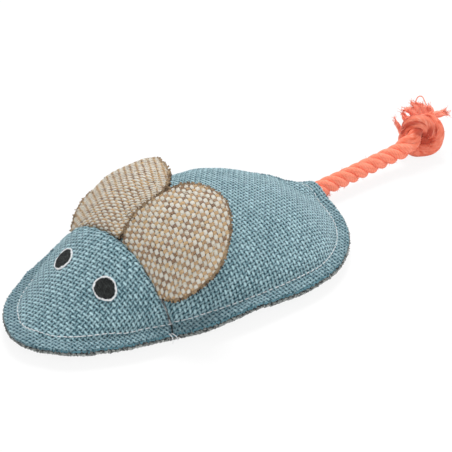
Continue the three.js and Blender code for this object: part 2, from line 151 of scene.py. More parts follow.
def addNode(tree, kind, settings=None, inputs=None):
    node = tree.nodes.new(kind)
    for name, item in (settings or {}).items():
        if name == "stops":
            ramp = node.color_ramp
            while len(ramp.elements) < len(item):
                ramp.elements.new(1)
            for mark, (place, colour) in zip(ramp.elements, item):
                mark.position, mark.color = place, (*colour, 1)
        else:
            setattr(node, name, item)
    for name, item in (inputs or {}).items():
        feed(tree, item, node.inputs[name])
    return node


def linear(r, g, b):
    # a screen colour, 0 to 255, in the shader's own scale
    return tuple(c / 12.92 if c <= 0.04045 else ((c + 0.055) / 1.055) ** 2.4
                 for c in (r / 255, g / 255, b / 255))


def joined(tree, x, y, z):
    return addNode(tree, "ShaderNodeCombineXYZ", {}, {"X": x, "Y": y, "Z": z}).outputs[0]


def mixColour(tree, factor, a, b, blend="MIX"):
    node = tree.nodes.new("ShaderNodeMix")
    node.data_type, node.blend_type = "RGBA", blend
    for place, item in ((0, factor), (6, a), (7, b)):
        feed(tree, item, node.inputs[place])
    return node.outputs[2]


def startMaterial(name, roughness=0.9, sheen=0.0, sheenRoughness=0.4, sheenTint=(1, 1, 1)):
    mat = bpy.data.materials.new(name)
    mat.use_nodes = True
    tree = mat.node_tree
    shader = tree.nodes["Principled BSDF"]
    shader.inputs["Roughness"].default_value = roughness
    shader.inputs["Specular IOR Level"].default_value = 0.25
    if sheen:
        shader.inputs["Sheen Weight"].default_value = sheen
        shader.inputs["Sheen Roughness"].default_value = sheenRoughness
        shader.inputs["Sheen Tint"].default_value = (*sheenTint, 1)
    return mat, tree, shader


def noise(tree, vector, scale, detail=2, roughness=0.5):
    return Value(tree, addNode(tree, "ShaderNodeTexNoise", {}, {
        "Vector": vector, "Scale": scale, "Detail": detail, "Roughness": roughness}).outputs[0])


def bumpInto(tree, shader, height, strength, distance):
    bump = addNode(tree, "ShaderNodeBump", {}, {"Height": height, "Strength": strength, "Distance": distance})
    tree.links.new(bump.outputs[0], shader.inputs["Normal"])


def paintedShadeOf(tree):
    # how much painted shade a place has, 0 where a mesh doesn't say
    return Value(tree, addNode(tree, "ShaderNodeAttribute", {"attribute_name": "crease"}).outputs["Fac"])


# the painted shade of each point, kept as a mesh attribute
def setPaintedShade(obj, values):
    marks = obj.data.attributes.new("crease", "FLOAT", "POINT").data
    marks.foreach_set("value", np.asarray(values, np.float32))


def wovenMaterial(name, c):
    # a plain weave on the piece's own UV map, one unit to a yarn
    mat, tree, shader = startMaterial(name, c["roughness"], c["sheen"], c.get("sheenRoughness", 0.5),
                                      c.get("sheenTint", (1, 1, 1)))
    uv = addNode(tree, "ShaderNodeUVMap", {"uv_map": "yarns"}).outputs[0]
    wobble = addNode(tree, "ShaderNodeTexNoise", {}, {"Vector": uv, "Scale": 0.8, "Detail": 2})
    wobble = wobble.outputs["Color"]
    shift = addNode(tree, "ShaderNodeVectorMath", {"operation": "MULTIPLY_ADD"})
    for slot, item in zip(shift.inputs, (wobble, (c["waver"],) * 3, uv)):
        feed(tree, item, slot)
    parts = addNode(tree, "ShaderNodeSeparateXYZ", {}, {"Vector": shift.outputs[0]}).outputs
    u, v = Value(tree, parts[0]) - c["waver"] / 2, Value(tree, parts[1]) - c["waver"] / 2
    col, row = u.floor(), v.floor()
    q, p = abs(v - row - 0.5) * 2, abs(u - col - 0.5) * 2        # off the middle of the yarn along u, along v
    # each yarn has thick and thin stretches
    slubU = noise(tree, joined(tree, u * 0.35, row * 7.3, 0.0), 1.0, 1).spread(0.3, 0.7)
    slubV = noise(tree, joined(tree, col * 7.3, v * 0.35, 9.0), 1.0, 1).spread(0.3, 0.7)
    wideU, wideV = slubU.spread(0, 1, c["wideU"]), slubV.spread(0, 1, c["wideV"])
    riseU = ((u - 0.5 + row) * math.pi).cos() * c["lift"]
    riseV = ((v - 0.5 + col) * math.pi).cos() * -c["lift"]
    roundU, roundV = (1 - (q / wideU) ** 2).most(0.0) ** 0.5, (1 - (p / wideV) ** 2).most(0.0) ** 0.5
    # fibres: fine streaks that lean across each yarn as its twist does
    lean, fine = c["fibreLean"], c["fibreAcross"]
    fibreU = noise(tree, joined(tree, u * 2.2 + (v - row) * lean, (v - row) * fine - u * lean, row * 3.1),
                   1.0, 3, 0.7)
    fibreV = noise(tree, joined(tree, (u - col) * fine - v * lean, v * 2.2 + (u - col) * lean, col * 3.1),
                   1.0, 3, 0.7)
    under = 2        # lower than any yarn
    highU = riseU + roundU * c["round"] + c["bias"] - q.above(wideU) * under + (fibreU - 0.5) * c["ragged"]
    highV = riseV + roundV * c["round"] - p.above(wideV) * under + (fibreV - 0.5) * c["ragged"]
    onTop = highU.above(highV)
    high = (highU.most(highV).most(-c["lift"])).spread(-c["lift"], c["lift"] + c["round"])
    fibre = onTop * fibreU + (1 - onTop) * fibreV
    # the yarns' own colours
    cell = Value(tree, addNode(tree, "ShaderNodeTexWhiteNoise", {"noise_dimensions": "2D"}, {
        "Vector": joined(tree, col, row, 0.0)}).outputs[0])
    tintU = mixColour(tree, slubU, c["alongU"][0], c["alongU"][1])
    if "flecks" in c:
        pick = Value(tree, addNode(tree, "ShaderNodeTexWhiteNoise", {"noise_dimensions": "3D"}, {
            "Vector": joined(tree, col, (v * 0.7 + col * 3.3).floor(), 4.0)}).outputs[0])
        tintV = addNode(tree, "ShaderNodeValToRGB", {"stops": c["flecks"]}, {
            "Fac": pick * 0.5 + fibreV.spread(0.3, 0.7) * 0.5}).outputs[0]
    else:
        tintV = mixColour(tree, slubV * 0.5 + cell * 0.5, c["alongV"][0], c["alongV"][1])
    yarn = mixColour(tree, onTop, tintV, tintU)
    # painted shade at the sides of a yarn and where it dives, a painted highlight on its crown
    across = (onTop * roundU + (1 - onTop) * roundV) ** c.get("crisp", 1.0)
    rise = (onTop * riseU + (1 - onTop) * riseV).spread(-c["lift"] * 0.4, c["lift"])
    shadeAndGrain = across * (1 - c["riseShare"]) + rise * c["riseShare"]
    shadeAndGrain = shadeAndGrain + (fibre - 0.5) * c.get("grain", 0.9) + (cell - 0.5) * c["cellSpread"]
    base = mixColour(tree, shadeAndGrain.spread(*c["sideFrom"]), c["side"], yarn)
    lit = shadeAndGrain.spread(*c["litFrom"]) * (c["litV"] + onTop * (c["litU"] - c["litV"]))
    base = mixColour(tree, lit, base, c["highlight"])
    # painted shade in the gaps between the yarns
    covered = (1 - q.above(wideU)).most(1 - p.above(wideV))
    base = mixColour(tree, covered * (high + fibre * 0.3).spread(0.0, c["gapWidth"]), c["gap"], base)
    broad = noise(tree, uv, 0.09, 3, 0.6)
    base = mixColour(tree, broad.spread(0.35, 0.7, (0, c["wear"])), base, c["faded"])
    # painted shade from the mesh's attribute, mixed towards a dark colour
    base = mixColour(tree, paintedShadeOf(tree), base, c.get("paintedShadeColour", (0.0, 0.0, 0.0)))
    feed(tree, base, shader.inputs["Base Color"])
    bumpInto(tree, shader, high * 0.8 + fibre * 0.35, c["bump"], c["pitch"] * 0.35 * mm)
    return mat


def yarnMaterial(name, c):
    # twisted yarn or thread: u runs round it and v along it
    tint = c.get("sheenTint", (1, 1, 1))
    mat, tree, shader = startMaterial(name, c["roughness"], c["sheen"], sheenTint=tint)
    uv = addNode(tree, "ShaderNodeUVMap", {"uv_map": "yarns"}).outputs[0]
    parts = addNode(tree, "ShaderNodeSeparateXYZ", {}, {"Vector": uv}).outputs
    u, v = Value(tree, parts[0]), Value(tree, parts[1])
    turn = (u + v * c["twist"]) * c["yarns"]
    groove = abs((turn % 1) - 0.5) * 2
    fine = noise(tree, joined(tree, turn * 3.0, v * c["fibreStretch"], 0.0), 1.0, 3, 0.6)
    broad = noise(tree, addNode(tree, "ShaderNodeTexCoord").outputs["Object"], c["patchScale"], 3, 0.6)
    # painted shade in the grooves between the yarns, the plain colour on their crests
    crest = (1 - groove ** 3) * 0.6 + fine * 0.6
    base = mixColour(tree, crest.spread(0.25, 0.85), c["grooveShade"], c["colour"])
    base = mixColour(tree, fine.spread(0.5, 0.8, (0, c["paleShare"])), base, c["pale"])
    base = mixColour(tree, broad.spread(0.3, 0.75, (0, c.get("patchShare", 0.55))), base, c["patch"])
    # painted shade from the mesh's attribute
    base = mixColour(tree, paintedShadeOf(tree), base, c.get("paintedShadeColour", c["grooveShade"]))
    feed(tree, base, shader.inputs["Base Color"])
    bumpInto(tree, shader, crest, c["bump"], c["bumpDepth"] * mm)
    return mat


def unit(v):
    return v / np.maximum(np.linalg.norm(v, axis=-1, keepdims=True), 1e-9)


def addObject(name, mesh, mat):
    mesh.materials.append(mat)
    obj = bpy.data.objects.new(name, mesh)
    bpy.context.collection.objects.link(obj)
    return obj


def meshFrom(name, points, faces, uvs=None, mat=None, smooth=True):
    mesh = bpy.data.meshes.new(name)
    mesh.from_pydata((np.asarray(points, float) * mm).tolist(), [], faces)
    if uvs is not None:
        layer = mesh.uv_layers.new(name="yarns")
        loops = np.empty(len(mesh.loops), dtype=np.int32)
        mesh.loops.foreach_get("vertex_index", loops)
        layer.data.foreach_set("uv", np.asarray(uvs, dtype=np.float32)[loops].ravel())
    mesh.polygons.foreach_set("use_smooth", [smooth] * len(mesh.polygons))
    mesh.update()
    return addObject(name, mesh, mat)


def smoothLine(points, step, closed=False):
    # centripetal Catmull-Rom through the points, then even steps
    pts = np.asarray(points, float)
    n = len(pts)
    get = (lambda i: pts[i % n]) if closed else (lambda i: pts[i] if 0 <= i < n else (
        2 * pts[0] - pts[1] if i < 0 else 2 * pts[-1] - pts[-2]))
    out = []
    for i in range(n if closed else n - 1):
        p0, p1, p2, p3 = get(i - 1), get(i), get(i + 1), get(i + 2)
        t0 = 0.0
        t1 = t0 + max(np.linalg.norm(p1 - p0), 1e-6) ** 0.5
        t2 = t1 + max(np.linalg.norm(p2 - p1), 1e-6) ** 0.5
        t3 = t2 + max(np.linalg.norm(p3 - p2), 1e-6) ** 0.5
        t = np.linspace(t1, t2, 24, endpoint=False)[:, None]
        a1 = (t1 - t) / (t1 - t0) * p0 + (t - t0) / (t1 - t0) * p1
        a2 = (t2 - t) / (t2 - t1) * p1 + (t - t1) / (t2 - t1) * p2
        a3 = (t3 - t) / (t3 - t2) * p2 + (t - t2) / (t3 - t2) * p3
        b1 = (t2 - t) / (t2 - t0) * a1 + (t - t0) / (t2 - t0) * a2
        b2 = (t3 - t) / (t3 - t1) * a2 + (t - t1) / (t3 - t1) * a3
        out.append((t2 - t) / (t2 - t1) * b1 + (t - t1) / (t2 - t1) * b2)
    line = np.concatenate(out)
    line = np.vstack([line, line[:1] if closed else pts[-1:]])
    s = np.r_[0, np.cumsum(np.linalg.norm(np.diff(line, axis=0), axis=1))]
    count = max(2, int(round(s[-1] / step)) + (0 if closed else 1))
    at = np.linspace(0, s[-1], count, endpoint=not closed)
    return np.stack([np.interp(at, s, line[:, k]) for k in range(line.shape[1])], 1)


def framesAlong(line, first=(0, 0, 1)):
    # tangent, side and other side at each point, carried along without twist
    tangent = np.gradient(line, axis=0)
    tangent /= np.linalg.norm(tangent, axis=1, keepdims=True)
    normal = np.zeros_like(line)
    n = np.asarray(first, float)
    for i, t in enumerate(tangent):
        n = n - t * (n @ t)
        n = n / np.linalg.norm(n)
        normal[i] = n
    return tangent, normal, np.cross(tangent, normal)


def tubeData(line, radii, sides, start=0, uOffset=0.0, lengthFrom=0.0):
    # closed tube round a line: points, faces and UVs (u round it, v in millimetres along it)
    _, n, b = framesAlong(line, (0.13, 0.21, 0.97))
    s = lengthFrom + np.r_[0, np.cumsum(np.linalg.norm(np.diff(line, axis=0), axis=1))]
    angle = np.linspace(0, 2 * math.pi, sides, endpoint=False)
    radii = np.broadcast_to(radii, (len(line),)) if np.ndim(radii) < 2 else radii
    r = radii[:, None] if np.ndim(radii) == 1 else radii
    cosines, sines = np.cos(angle)[None, :, None], np.sin(angle)[None, :, None]
    ring = line[:, None] + r[..., None] * (cosines * n[:, None] + sines * b[:, None])
    pts = [*ring.reshape(-1, 3), line[0], line[-1]]
    uv = [(uOffset + k / sides, s[i]) for i in range(len(line)) for k in range(sides)]
    uv += [(0, s[0]), (0, s[-1])]
    faces, m = [], len(line)
    for i in range(m - 1):
        for k in range(sides):
            k2 = (k + 1) % sides
            here, there = start + i * sides, start + (i + 1) * sides
            faces.append((here + k, here + k2, there + k2, there + k))
    low, high = start + m * sides, start + m * sides + 1
    for k in range(sides):
        k2 = (k + 1) % sides
        faces.append((low, start + k2, start + k))
        faces.append((high, start + (m - 1) * sides + k, start + (m - 1) * sides + k2))
    return pts, faces, uv


def tubesObject(name, tubes, mat):
    points, faces, uvs, depth = [], [], [], []
    for line, radii, sides, extra in tubes:
        extra = dict(extra)
        crease = extra.pop("crease", np.zeros((len(line), sides)))
        p, f, uv = tubeData(np.asarray(line, float), radii, sides, len(points), **extra)
        points += p
        faces += f
        uvs += uv
        depth += [*crease.ravel(), crease[0].mean(), crease[-1].mean()]
    obj = meshFrom(name, points, faces, uvs, mat)
    setPaintedShade(obj, depth)
    return obj


# the body's outline and dome, the same as the solids'
body = {
    "halfLength": 82.5, "halfWidth": 51.3, "margin": 6.5, "neck": -32.01,
    "outline": [(0, -1), (0.372, -0.898), (0.612, -0.677), (0.745, -0.47), (0.845, -0.305), (0.922, -0.075),
                (0.973, 0.162), (1, 0.359), (0.944, 0.583), (0.733, 0.797), (0.395, 0.947), (0, 1)],
    "crestAt": [-1, -0.947, -0.789, -0.632, -0.46, -0.263, 0, 0.329, 0.658, 0.921, 1],
    "crestHeight": [0.09, 0.138, 0.41, 0.686, 0.943, 1, 0.926, 0.823, 0.686, 0.403, 0.25], "rise": 28.8,
    "acrossPower": 0.643, "alongPower": 0.598, "blunt": 4, "top": 6.6, "low": 4.5, "restDepth": 0.5,
    "bellyPower": 0.38, "tailRise": 4.2, "tailSink": 1.8, "lowest": 0.35,
}
# what sewing and stuffing do to the cloth: depths in mm, each with its reach
# a wave has a height, a scale and a seed
drape = {
    "seamDip": (0.45, 1.3), "rimSlope": (0.9, -0.1, 8), "neckDip": (1.9, 1.5), "pucker": (0.35, 7),
    "slack": ((0.9, 46, 4), (0.35, 17, 9)), "rimWave": (0.45, 13, 21), "lowRimWave": (0.35, 13, 21),
    "lowRimRise": 0.25, "rimCurl": 1.7, "curlAt": 1, "curlReach": 13, "neckLean": 0.86, "neckLeansFrom": 35,
}


def bodyRing(inset=0.0, step=0.6):
    half = np.array(body["outline"]) * (body["halfWidth"], body["halfLength"])
    left = half[1:-1][::-1] * (-1, 1)
    ring = smoothLine(np.vstack([half, left]), step, closed=True)
    if not inset:
        return ring
    ahead = np.roll(ring, -1, 0) - np.roll(ring, 1, 0)
    ahead /= np.linalg.norm(ahead, axis=1, keepdims=True)
    inward = np.stack([-ahead[:, 1], ahead[:, 0]], 1)
    return ring + inward * inset


def halfWidthTable(inset):
    ring = bodyRing(inset)
    right = ring[ring[:, 0] > 0]
    right = right[np.argsort(right[:, 1])]
    tip = body["halfLength"] - inset
    return np.r_[-tip, right[:, 1], tip], np.r_[0, right[:, 0], 0]


sewnWidth = halfWidthTable(body["margin"])
rawWidth = halfWidthTable(0.0)


def crestAlong(y):
    # monotone cubic through the crest stations
    x, h = np.array(body["crestAt"]) * (body["halfLength"] - body["margin"]), np.array(body["crestHeight"])
    d = np.diff(h) / np.diff(x)
    m = np.r_[d[0], [0 if a * b <= 0 else 2 * a * b / (a + b) for a, b in zip(d[:-1], d[1:])], d[-1]]
    i = np.clip(np.searchsorted(x, y) - 1, 0, len(x) - 2)
    w = x[i + 1] - x[i]
    t = np.clip((y - x[i]) / w, 0, 1)
    return ((2 * t**3 - 3 * t**2 + 1) * h[i] + (t**3 - 2 * t**2 + t) * w * m[i]
            + (-2 * t**3 + 3 * t**2) * h[i + 1] + (t**3 - t**2) * w * m[i + 1])


def smoothStep(v, low, high):
    t = np.clip((v - low) / (high - low), 0, 1)
    return t * t * (3 - 2 * t)


def wander(x, y, scale, seed):
    # slow, smooth unevenness from a few sine waves
    rng = np.random.default_rng(seed)
    total = np.zeros(np.broadcast(x, y).shape)
    for _ in range(7):
        a, f, ph = rng.uniform(0, 2 * math.pi), rng.uniform(0.6, 1.7) / scale, rng.uniform(0, 6.28)
        total = total + np.sin((x * math.cos(a) + y * math.sin(a)) * f * 2 * math.pi + ph)
    return total / 7


def domeShares(x, y):
    tip = body["halfLength"] - body["margin"]
    w = np.maximum(np.interp(y, *sewnWidth), 1e-3)
    across = np.clip(1 - (x / w) ** 2, 0, 1)
    lengthwise = np.clip(1 - np.abs(y / tip) ** body["blunt"], 0, 1)
    return across, lengthwise


def tailBump(x, y):
    return np.exp(-((x / 7) ** 2)) * smoothStep(y, 65.5, 76)


def upperZ(x, y):
    across, lengthwise = domeShares(x, y)
    dome = body["rise"] * crestAlong(y) * across ** body["acrossPower"] * lengthwise ** body["alongPower"]
    return body["top"] + body["tailRise"] * tailBump(x, y) + dome


def softened(a, e):
    # the positive part of a, with its corner at zero rounded
    return (a + np.sqrt(a * a + e * e)) / 2


def fromSeam(x, y):
    # roughly how far a place is inside the stitched line
    w = np.interp(y, *sewnWidth)
    tip = body["halfLength"] - body["margin"]
    return np.minimum((w - np.abs(x)) * np.minimum(1, 0.35 + 1.1 * (w / body["halfWidth"])), tip - np.abs(y))


def rimLift(x, y):
    # one stretch of the near rim curls up
    curl = drape["rimCurl"] * np.exp(-((y - drape["curlAt"]) / drape["curlReach"]) ** 2)
    return curl * smoothStep(x, 20, 40) * smoothStep(-fromSeam(x, y), -0.5, 5)


def neckLine(x):
    # the seam leans forwards where it crosses the sewn edge
    return body["neck"] - drape["neckLean"] * np.maximum(np.abs(x) - drape["neckLeansFrom"], 0)


def waves(x, y, wave):
    height, scale, seed = wave
    return height * wander(x, y, scale, seed)


def upperCloth(x, y):
    # the dome with rounded corners, the seams drawn in and the slack of the cloth
    tip = body["halfLength"] - body["margin"]
    w = np.maximum(np.interp(y, *sewnWidth), 1e-3)
    wide = softened(1 - (x / np.maximum(w, 6)) ** 2, 0.035)
    long = softened(1 - np.abs(y / tip) ** body["blunt"], 0.03)
    z = body["top"] + body["tailRise"] * tailBump(x, y) + body["rise"] * crestAlong(y) * np.minimum(
        wide, 1) ** body["acrossPower"] * np.minimum(long, 1) ** body["alongPower"]
    across, lengthwise = domeShares(x, y)
    inward = fromSeam(x, y)
    depth, reach = drape["seamDip"]
    z = z - depth * np.exp(-((inward / reach) ** 2))
    # the sewn edge slopes down to its raw rim
    slope, start, reach = drape["rimSlope"]
    z = z + (slope * smoothStep(inward, -6.5, 3) + start) * np.exp(-np.maximum(inward, 0) / reach)
    z = z + rimLift(x, y)
    inside = np.clip(across * 4, 0, 1) * np.clip(lengthwise * 4, 0, 1)
    fromNeck = y - neckLine(x)
    depth, reach = drape["neckDip"]
    z = z - depth * np.exp(-((fromNeck / reach) ** 2)) * np.clip(across * 6 + 0.25, 0, 1)
    depth, reach = drape["pucker"]
    z = z + depth * np.exp(-((fromNeck / reach) ** 2)) * np.sin(x * 1.1 + 0.8 * np.sin(x * 0.37)) * inside
    for wave in drape["slack"]:
        z = z + waves(x, y, wave) * inside
    return z + (1 - inside) * waves(x, y, drape["rimWave"])


def lowerCloth(x, y):
    across, lengthwise = domeShares(x, y)
    sink = (body["low"] + body["restDepth"]) * (across * lengthwise) ** body["bellyPower"]
    z = np.maximum(body["low"] - body["tailSink"] * tailBump(x, y) - sink, body["lowest"])
    edge = 1 - np.clip(across * 4, 0, 1) * np.clip(lengthwise * 4, 0, 1)
    rise = drape["lowRimRise"] * smoothStep(-fromSeam(x, y), 0, 6)
    return z + edge * waves(x, y, drape["lowRimWave"]) + rise + rimLift(x, y)


def weaveHeight(u, v, c):
    # how far the cloth's face stands out at a place counted in yarns, from 0 to 1
    col, row = np.floor(u), np.floor(v)
    q, p = np.abs(v - row - 0.5) * 2, np.abs(u - col - 0.5) * 2
    wideU, wideV = np.mean(c["wideU"]), np.mean(c["wideV"])
    roundU = np.sqrt(np.maximum(1 - (q / wideU) ** 2, 0)) * c["round"]
    roundV = np.sqrt(np.maximum(1 - (p / wideV) ** 2, 0)) * c["round"]
    highU = np.cos((u - 0.5 + row) * math.pi) * c["lift"] + roundU
    highV = -np.cos((v - 0.5 + col) * math.pi) * c["lift"] + roundV
    return (np.maximum(np.maximum(highU, highV), -c["lift"]) + c["lift"]) / (2 * c["lift"] + c["round"])


def touching(cell):
    # how many of its four neighbours each cell has
    full = np.pad(cell, 1)
    return full[:-2, 1:-1].astype(int) + full[2:, 1:-1] + full[1:-1, :-2] + full[1:-1, 2:]


def wovenShell(name, mat, weave, place, inside, spanU, spanV, relief, thickness, samples=4, flip=False,
               crease=None, inner=0.75):
    # face side on the yarn grid with real relief; back side a coarse lining; a rim joins them
    u, v = (np.arange(math.floor(low * samples), math.ceil(high * samples) + 1) / samples
            for low, high in (spanU, spanV))
    uu, vv = np.meshgrid(u, v, indexing="ij")
    pos = place(uu, vv)
    keep = inside(uu, vv, pos)
    cell = keep[:-1, :-1] & keep[1:, :-1] & keep[:-1, 1:] & keep[1:, 1:]
    # drop cells that hang on by one side, so that the edge is one clean loop
    for _ in range(4):
        cell = cell & (touching(cell) >= 2)
    used = np.zeros(uu.shape, bool)
    for di in (0, 1):
        for dj in (0, 1):
            used[di:di + cell.shape[0], dj:dj + cell.shape[1]] |= cell
    normal = unit(np.cross(np.gradient(pos, axis=0), np.gradient(pos, axis=1)))
    if flip:
        normal = -normal
    face = pos + normal * (relief * weaveHeight(uu, vv, weave))[..., None]
    index = -np.ones(uu.shape, int)
    index[used] = np.arange(used.sum())
    points = face[used].tolist()
    uvs = np.stack([uu[used], vv[used]], 1).tolist()
    i, j = np.nonzero(cell)
    a, b, c, d = index[i, j], index[i + 1, j], index[i + 1, j + 1], index[i, j + 1]
    faces = np.stack([a, d, c, b] if flip else [a, b, c, d], 1).tolist()
    # the edge's sides are those that no second face shares
    sides = {(f[k], f[(k + 1) % 4]) for f in faces for k in range(4)}
    border = [side for side in ((f[k], f[(k + 1) % 4]) for f in faces for k in range(4))
              if (side[1], side[0]) not in sides]
    follow = dict(border)
    # the back: the edge's points and a coarse grid of inner ones, joined by triangles
    place2d = {int(index[ij]): ij for ij in zip(*np.nonzero(used))}
    backOf = {vtx: k for k, vtx in enumerate(follow)}
    core = used.copy()
    for _ in range(3):
        core[1:-1, 1:-1] &= core[2:, 1:-1] & core[:-2, 1:-1] & core[1:-1, 2:] & core[1:-1, :-2]
    ci, cj = np.nonzero(core)
    skip = samples * 2
    pick = (ci % skip == 0) & (cj % skip == 0)
    grid = [place2d[vtx] for vtx in follow] + list(zip(ci[pick], cj[pick]))
    plane = [(uu[ij], vv[ij]) for ij in grid]
    _, _, tris, origin, _, _ = delaunay_2d_cdt(
        [Vector(one) for one in plane], [(backOf[e0], backOf[e1]) for e0, e1 in border], [], 1, 1e-6)
    base = len(points)
    newBack = {}
    for k, ids in enumerate(origin):
        ij = grid[ids[0]]
        points.append(list(pos[ij] - normal[ij] * thickness))
        uvs.append(plane[ids[0]])
        for one in ids:
            newBack[one] = base + k
    for tri in tris:
        tri = [base + k for k in tri]
        faces.append(tri if flip else tri[::-1])
    for e0, e1 in border:
        faces.append((e1, e0, newBack[backOf[e0]], newBack[backOf[e1]]))
    obj = meshFrom(name, points, faces, uvs, mat)
    # painted shade: the cloth's inner side and cut edge are darker than its face
    depth = np.full(len(points), inner)
    depth[:base] = 0.0 if crease is None else crease(pos[..., 0][used], pos[..., 1][used])
    setPaintedShade(obj, depth)
    return obj


# the finishes: colours of each woven cloth and each yarn
blueWeave = {
    "pitch": 1.72, "roughness": 0.9, "sheen": 0.95, "sheenRoughness": 0.32, "sheenTint": (0.76, 0.93, 1.0),
    "waver": 0.3, "cellSpread": 0.3, "fibreLean": 3.0, "bump": 1.0, "wideU": (0.6, 0.86),
    "wideV": (0.64, 0.9), "lift": 0.5, "round": 0.6, "gapWidth": 0.3, "wear": 0.08, "bias": 0.06,
    "crisp": 1.9, "grain": 1.7, "ragged": 0.6, "fibreAcross": 4.5,
    "alongU": (linear(88, 131, 142), linear(66, 109, 121)),
    "alongV": (linear(62, 105, 117), linear(42, 81, 93)), "side": linear(28, 58, 69), "sideFrom": (0.0, 0.52),
    "riseShare": 0.2, "gap": linear(8, 18, 25), "highlight": linear(190, 222, 229),
    "paintedShadeColour": linear(0, 56, 74), "litFrom": (0.5, 1.05), "litU": 0.95, "litV": 0.7,
    "faded": linear(106, 138, 148),
}
greyWeave = {
    "pitch": 1.6, "roughness": 0.92, "sheen": 0.2, "waver": 0.25, "cellSpread": 0.6, "fibreLean": 3.0,
    "bump": 0.9, "wideU": (0.66, 0.9), "wideV": (0.66, 0.9), "lift": 0.5, "round": 0.5, "gapWidth": 0.3,
    "wear": 0.1, "ragged": 0.5, "fibreAcross": 5, "alongU": (linear(212, 215, 211), linear(150, 156, 153)),
    "alongV": (linear(52, 56, 58), linear(30, 34, 37)), "side": linear(50, 54, 56), "sideFrom": (0.05, 0.6),
    "riseShare": 0.3, "gap": linear(20, 22, 25), "bias": 0.0, "highlight": linear(206, 209, 205),
    "litFrom": (0.6, 1.0), "litU": 0.7, "litV": 0.15, "faded": linear(120, 126, 124),
}
earWeave = {
    "pitch": 1.65, "roughness": 0.92, "sheen": 0.1, "waver": 0.5, "cellSpread": 0.35, "fibreLean": 3.0,
    "bump": 1.0, "wideU": (0.84, 1.04), "wideV": (0.68, 0.9), "lift": 0.5, "round": 0.6, "gapWidth": 0.5,
    "wear": 0.05, "bias": -0.04, "grain": 1.7, "ragged": 1.6, "fibreAcross": 4,
    "alongU": (linear(216, 210, 197), linear(184, 171, 148)),
    "alongV": (linear(204, 158, 100), linear(118, 76, 42)),
    "flecks": ((0.0, linear(66, 44, 32)), (0.32, linear(140, 102, 70)), (0.5, linear(192, 156, 112)),
               (0.72, linear(206, 166, 112)), (1.0, linear(216, 200, 172))),
    "side": linear(74, 50, 34), "sideFrom": (0.1, 0.5), "riseShare": 0.4, "gap": linear(28, 18, 12),
    "highlight": linear(230, 226, 216), "litFrom": (0.46, 0.95), "litU": 0.95, "litV": 0.12,
    "faded": linear(186, 170, 142),
}
# the backing is a darker brown copy of the ear cloth: partly its own dark-brown threads, partly painted shade
# between the two layers
earBackWeave = dict(
    {k: v for k, v in earWeave.items() if k != "flecks"}, alongU=(linear(92, 74, 58), linear(74, 60, 48)),
    alongV=(linear(60, 48, 40), linear(48, 38, 33)), side=linear(44, 36, 31), gap=linear(20, 17, 15),
    highlight=linear(136, 112, 86), litU=0.5, litV=0.1, faded=linear(88, 72, 58))
ropeYarn = {
    "roughness": 0.88, "sheen": 0.25, "sheenTint": (1.0, 0.72, 0.62), "twist": -0.10, "yarns": 8,
    "fibreStretch": 0.9, "patchScale": 170, "grooveShade": linear(222, 96, 68), "colour": linear(249, 136, 106),
    "pale": linear(255, 190, 170), "paleShare": 0.6, "patch": linear(250, 158, 134),
    "paintedShadeColour": linear(158, 34, 14), "bump": 0.35, "bumpDepth": 0.18,
}
# the knot's colours are a darker copy of the rope's: painted shade for the tight knot
knotYarn = dict(ropeYarn, yarns=4, twist=-0.05, fibreStretch=0.35, bump=0.3, paleShare=0.8,
                grooveShade=linear(216, 86, 56), colour=linear(240, 120, 90))
frayYarn = dict(ropeYarn, yarns=3, grooveShade=linear(236, 122, 98), colour=linear(255, 156, 132),
                pale=linear(255, 198, 180), patch=linear(252, 168, 146))
whiteThread = {
    "roughness": 0.7, "sheen": 0.1, "twist": 0.6, "yarns": 3, "fibreStretch": 2, "patchScale": 200,
    "grooveShade": linear(190, 194, 198), "colour": linear(236, 236, 238), "pale": linear(248, 248, 248),
    "paleShare": 0.5, "patch": linear(224, 228, 230), "bump": 0.5, "bumpDepth": 0.06,
}
blackThread = dict(
    whiteThread, grooveShade=linear(6, 7, 7), colour=linear(33, 36, 36), pale=linear(130, 134, 134), paleShare=0.9,
    patch=linear(2, 3, 3), patchShare=0.95, patchScale=800, roughness=0.95, sheen=0.0)
blueThread = dict(
    whiteThread, grooveShade=linear(52, 88, 101), colour=linear(108, 154, 167), pale=linear(158, 194, 204),
    patch=linear(76, 118, 132), roughness=0.9)
greyThread = dict(
    whiteThread, grooveShade=linear(70, 74, 76), colour=linear(198, 203, 200), pale=linear(236, 238, 234),
    patch=linear(34, 38, 41), patchShare=0.95, patchScale=700, roughness=0.9)
darkThread = dict(
    whiteThread, grooveShade=linear(24, 20, 18), colour=linear(60, 48, 40), pale=linear(122, 98, 72),
    patch=linear(40, 34, 30), patchScale=600, roughness=0.9)
tanThread = dict(
    whiteThread, grooveShade=linear(80, 54, 36), colour=linear(184, 158, 122), pale=linear(224, 216, 198),
    patch=linear(66, 42, 30), patchShare=0.95, patchScale=500, roughness=0.9)
creamThread = dict(
    whiteThread, grooveShade=linear(160, 150, 132), colour=linear(222, 216, 200), pale=linear(240, 236, 224),
    patch=linear(206, 198, 180))


def loftMaterial(name, c):
    # loose stuff seen in the mass: dry flakes or carded fibre
    mat, tree, shader = startMaterial(name, 0.95, 0.1)
    place = addNode(tree, "ShaderNodeTexCoord").outputs["Object"]
    flakes = addNode(tree, "ShaderNodeTexVoronoi", {}, {"Vector": place, "Scale": c["scale"]})
    flakes = Value(tree, flakes.outputs["Distance"])
    fine = noise(tree, place, c["scale"] * 2.5, 4, 0.7)
    base = mixColour(tree, (flakes + fine * 0.6).spread(0.2, 1.0), c["low"], c["high"])
    tree.links.new(base, shader.inputs["Base Color"])
    bumpInto(tree, shader, flakes + fine, 0.8, c["depth"] * mm)
    return mat


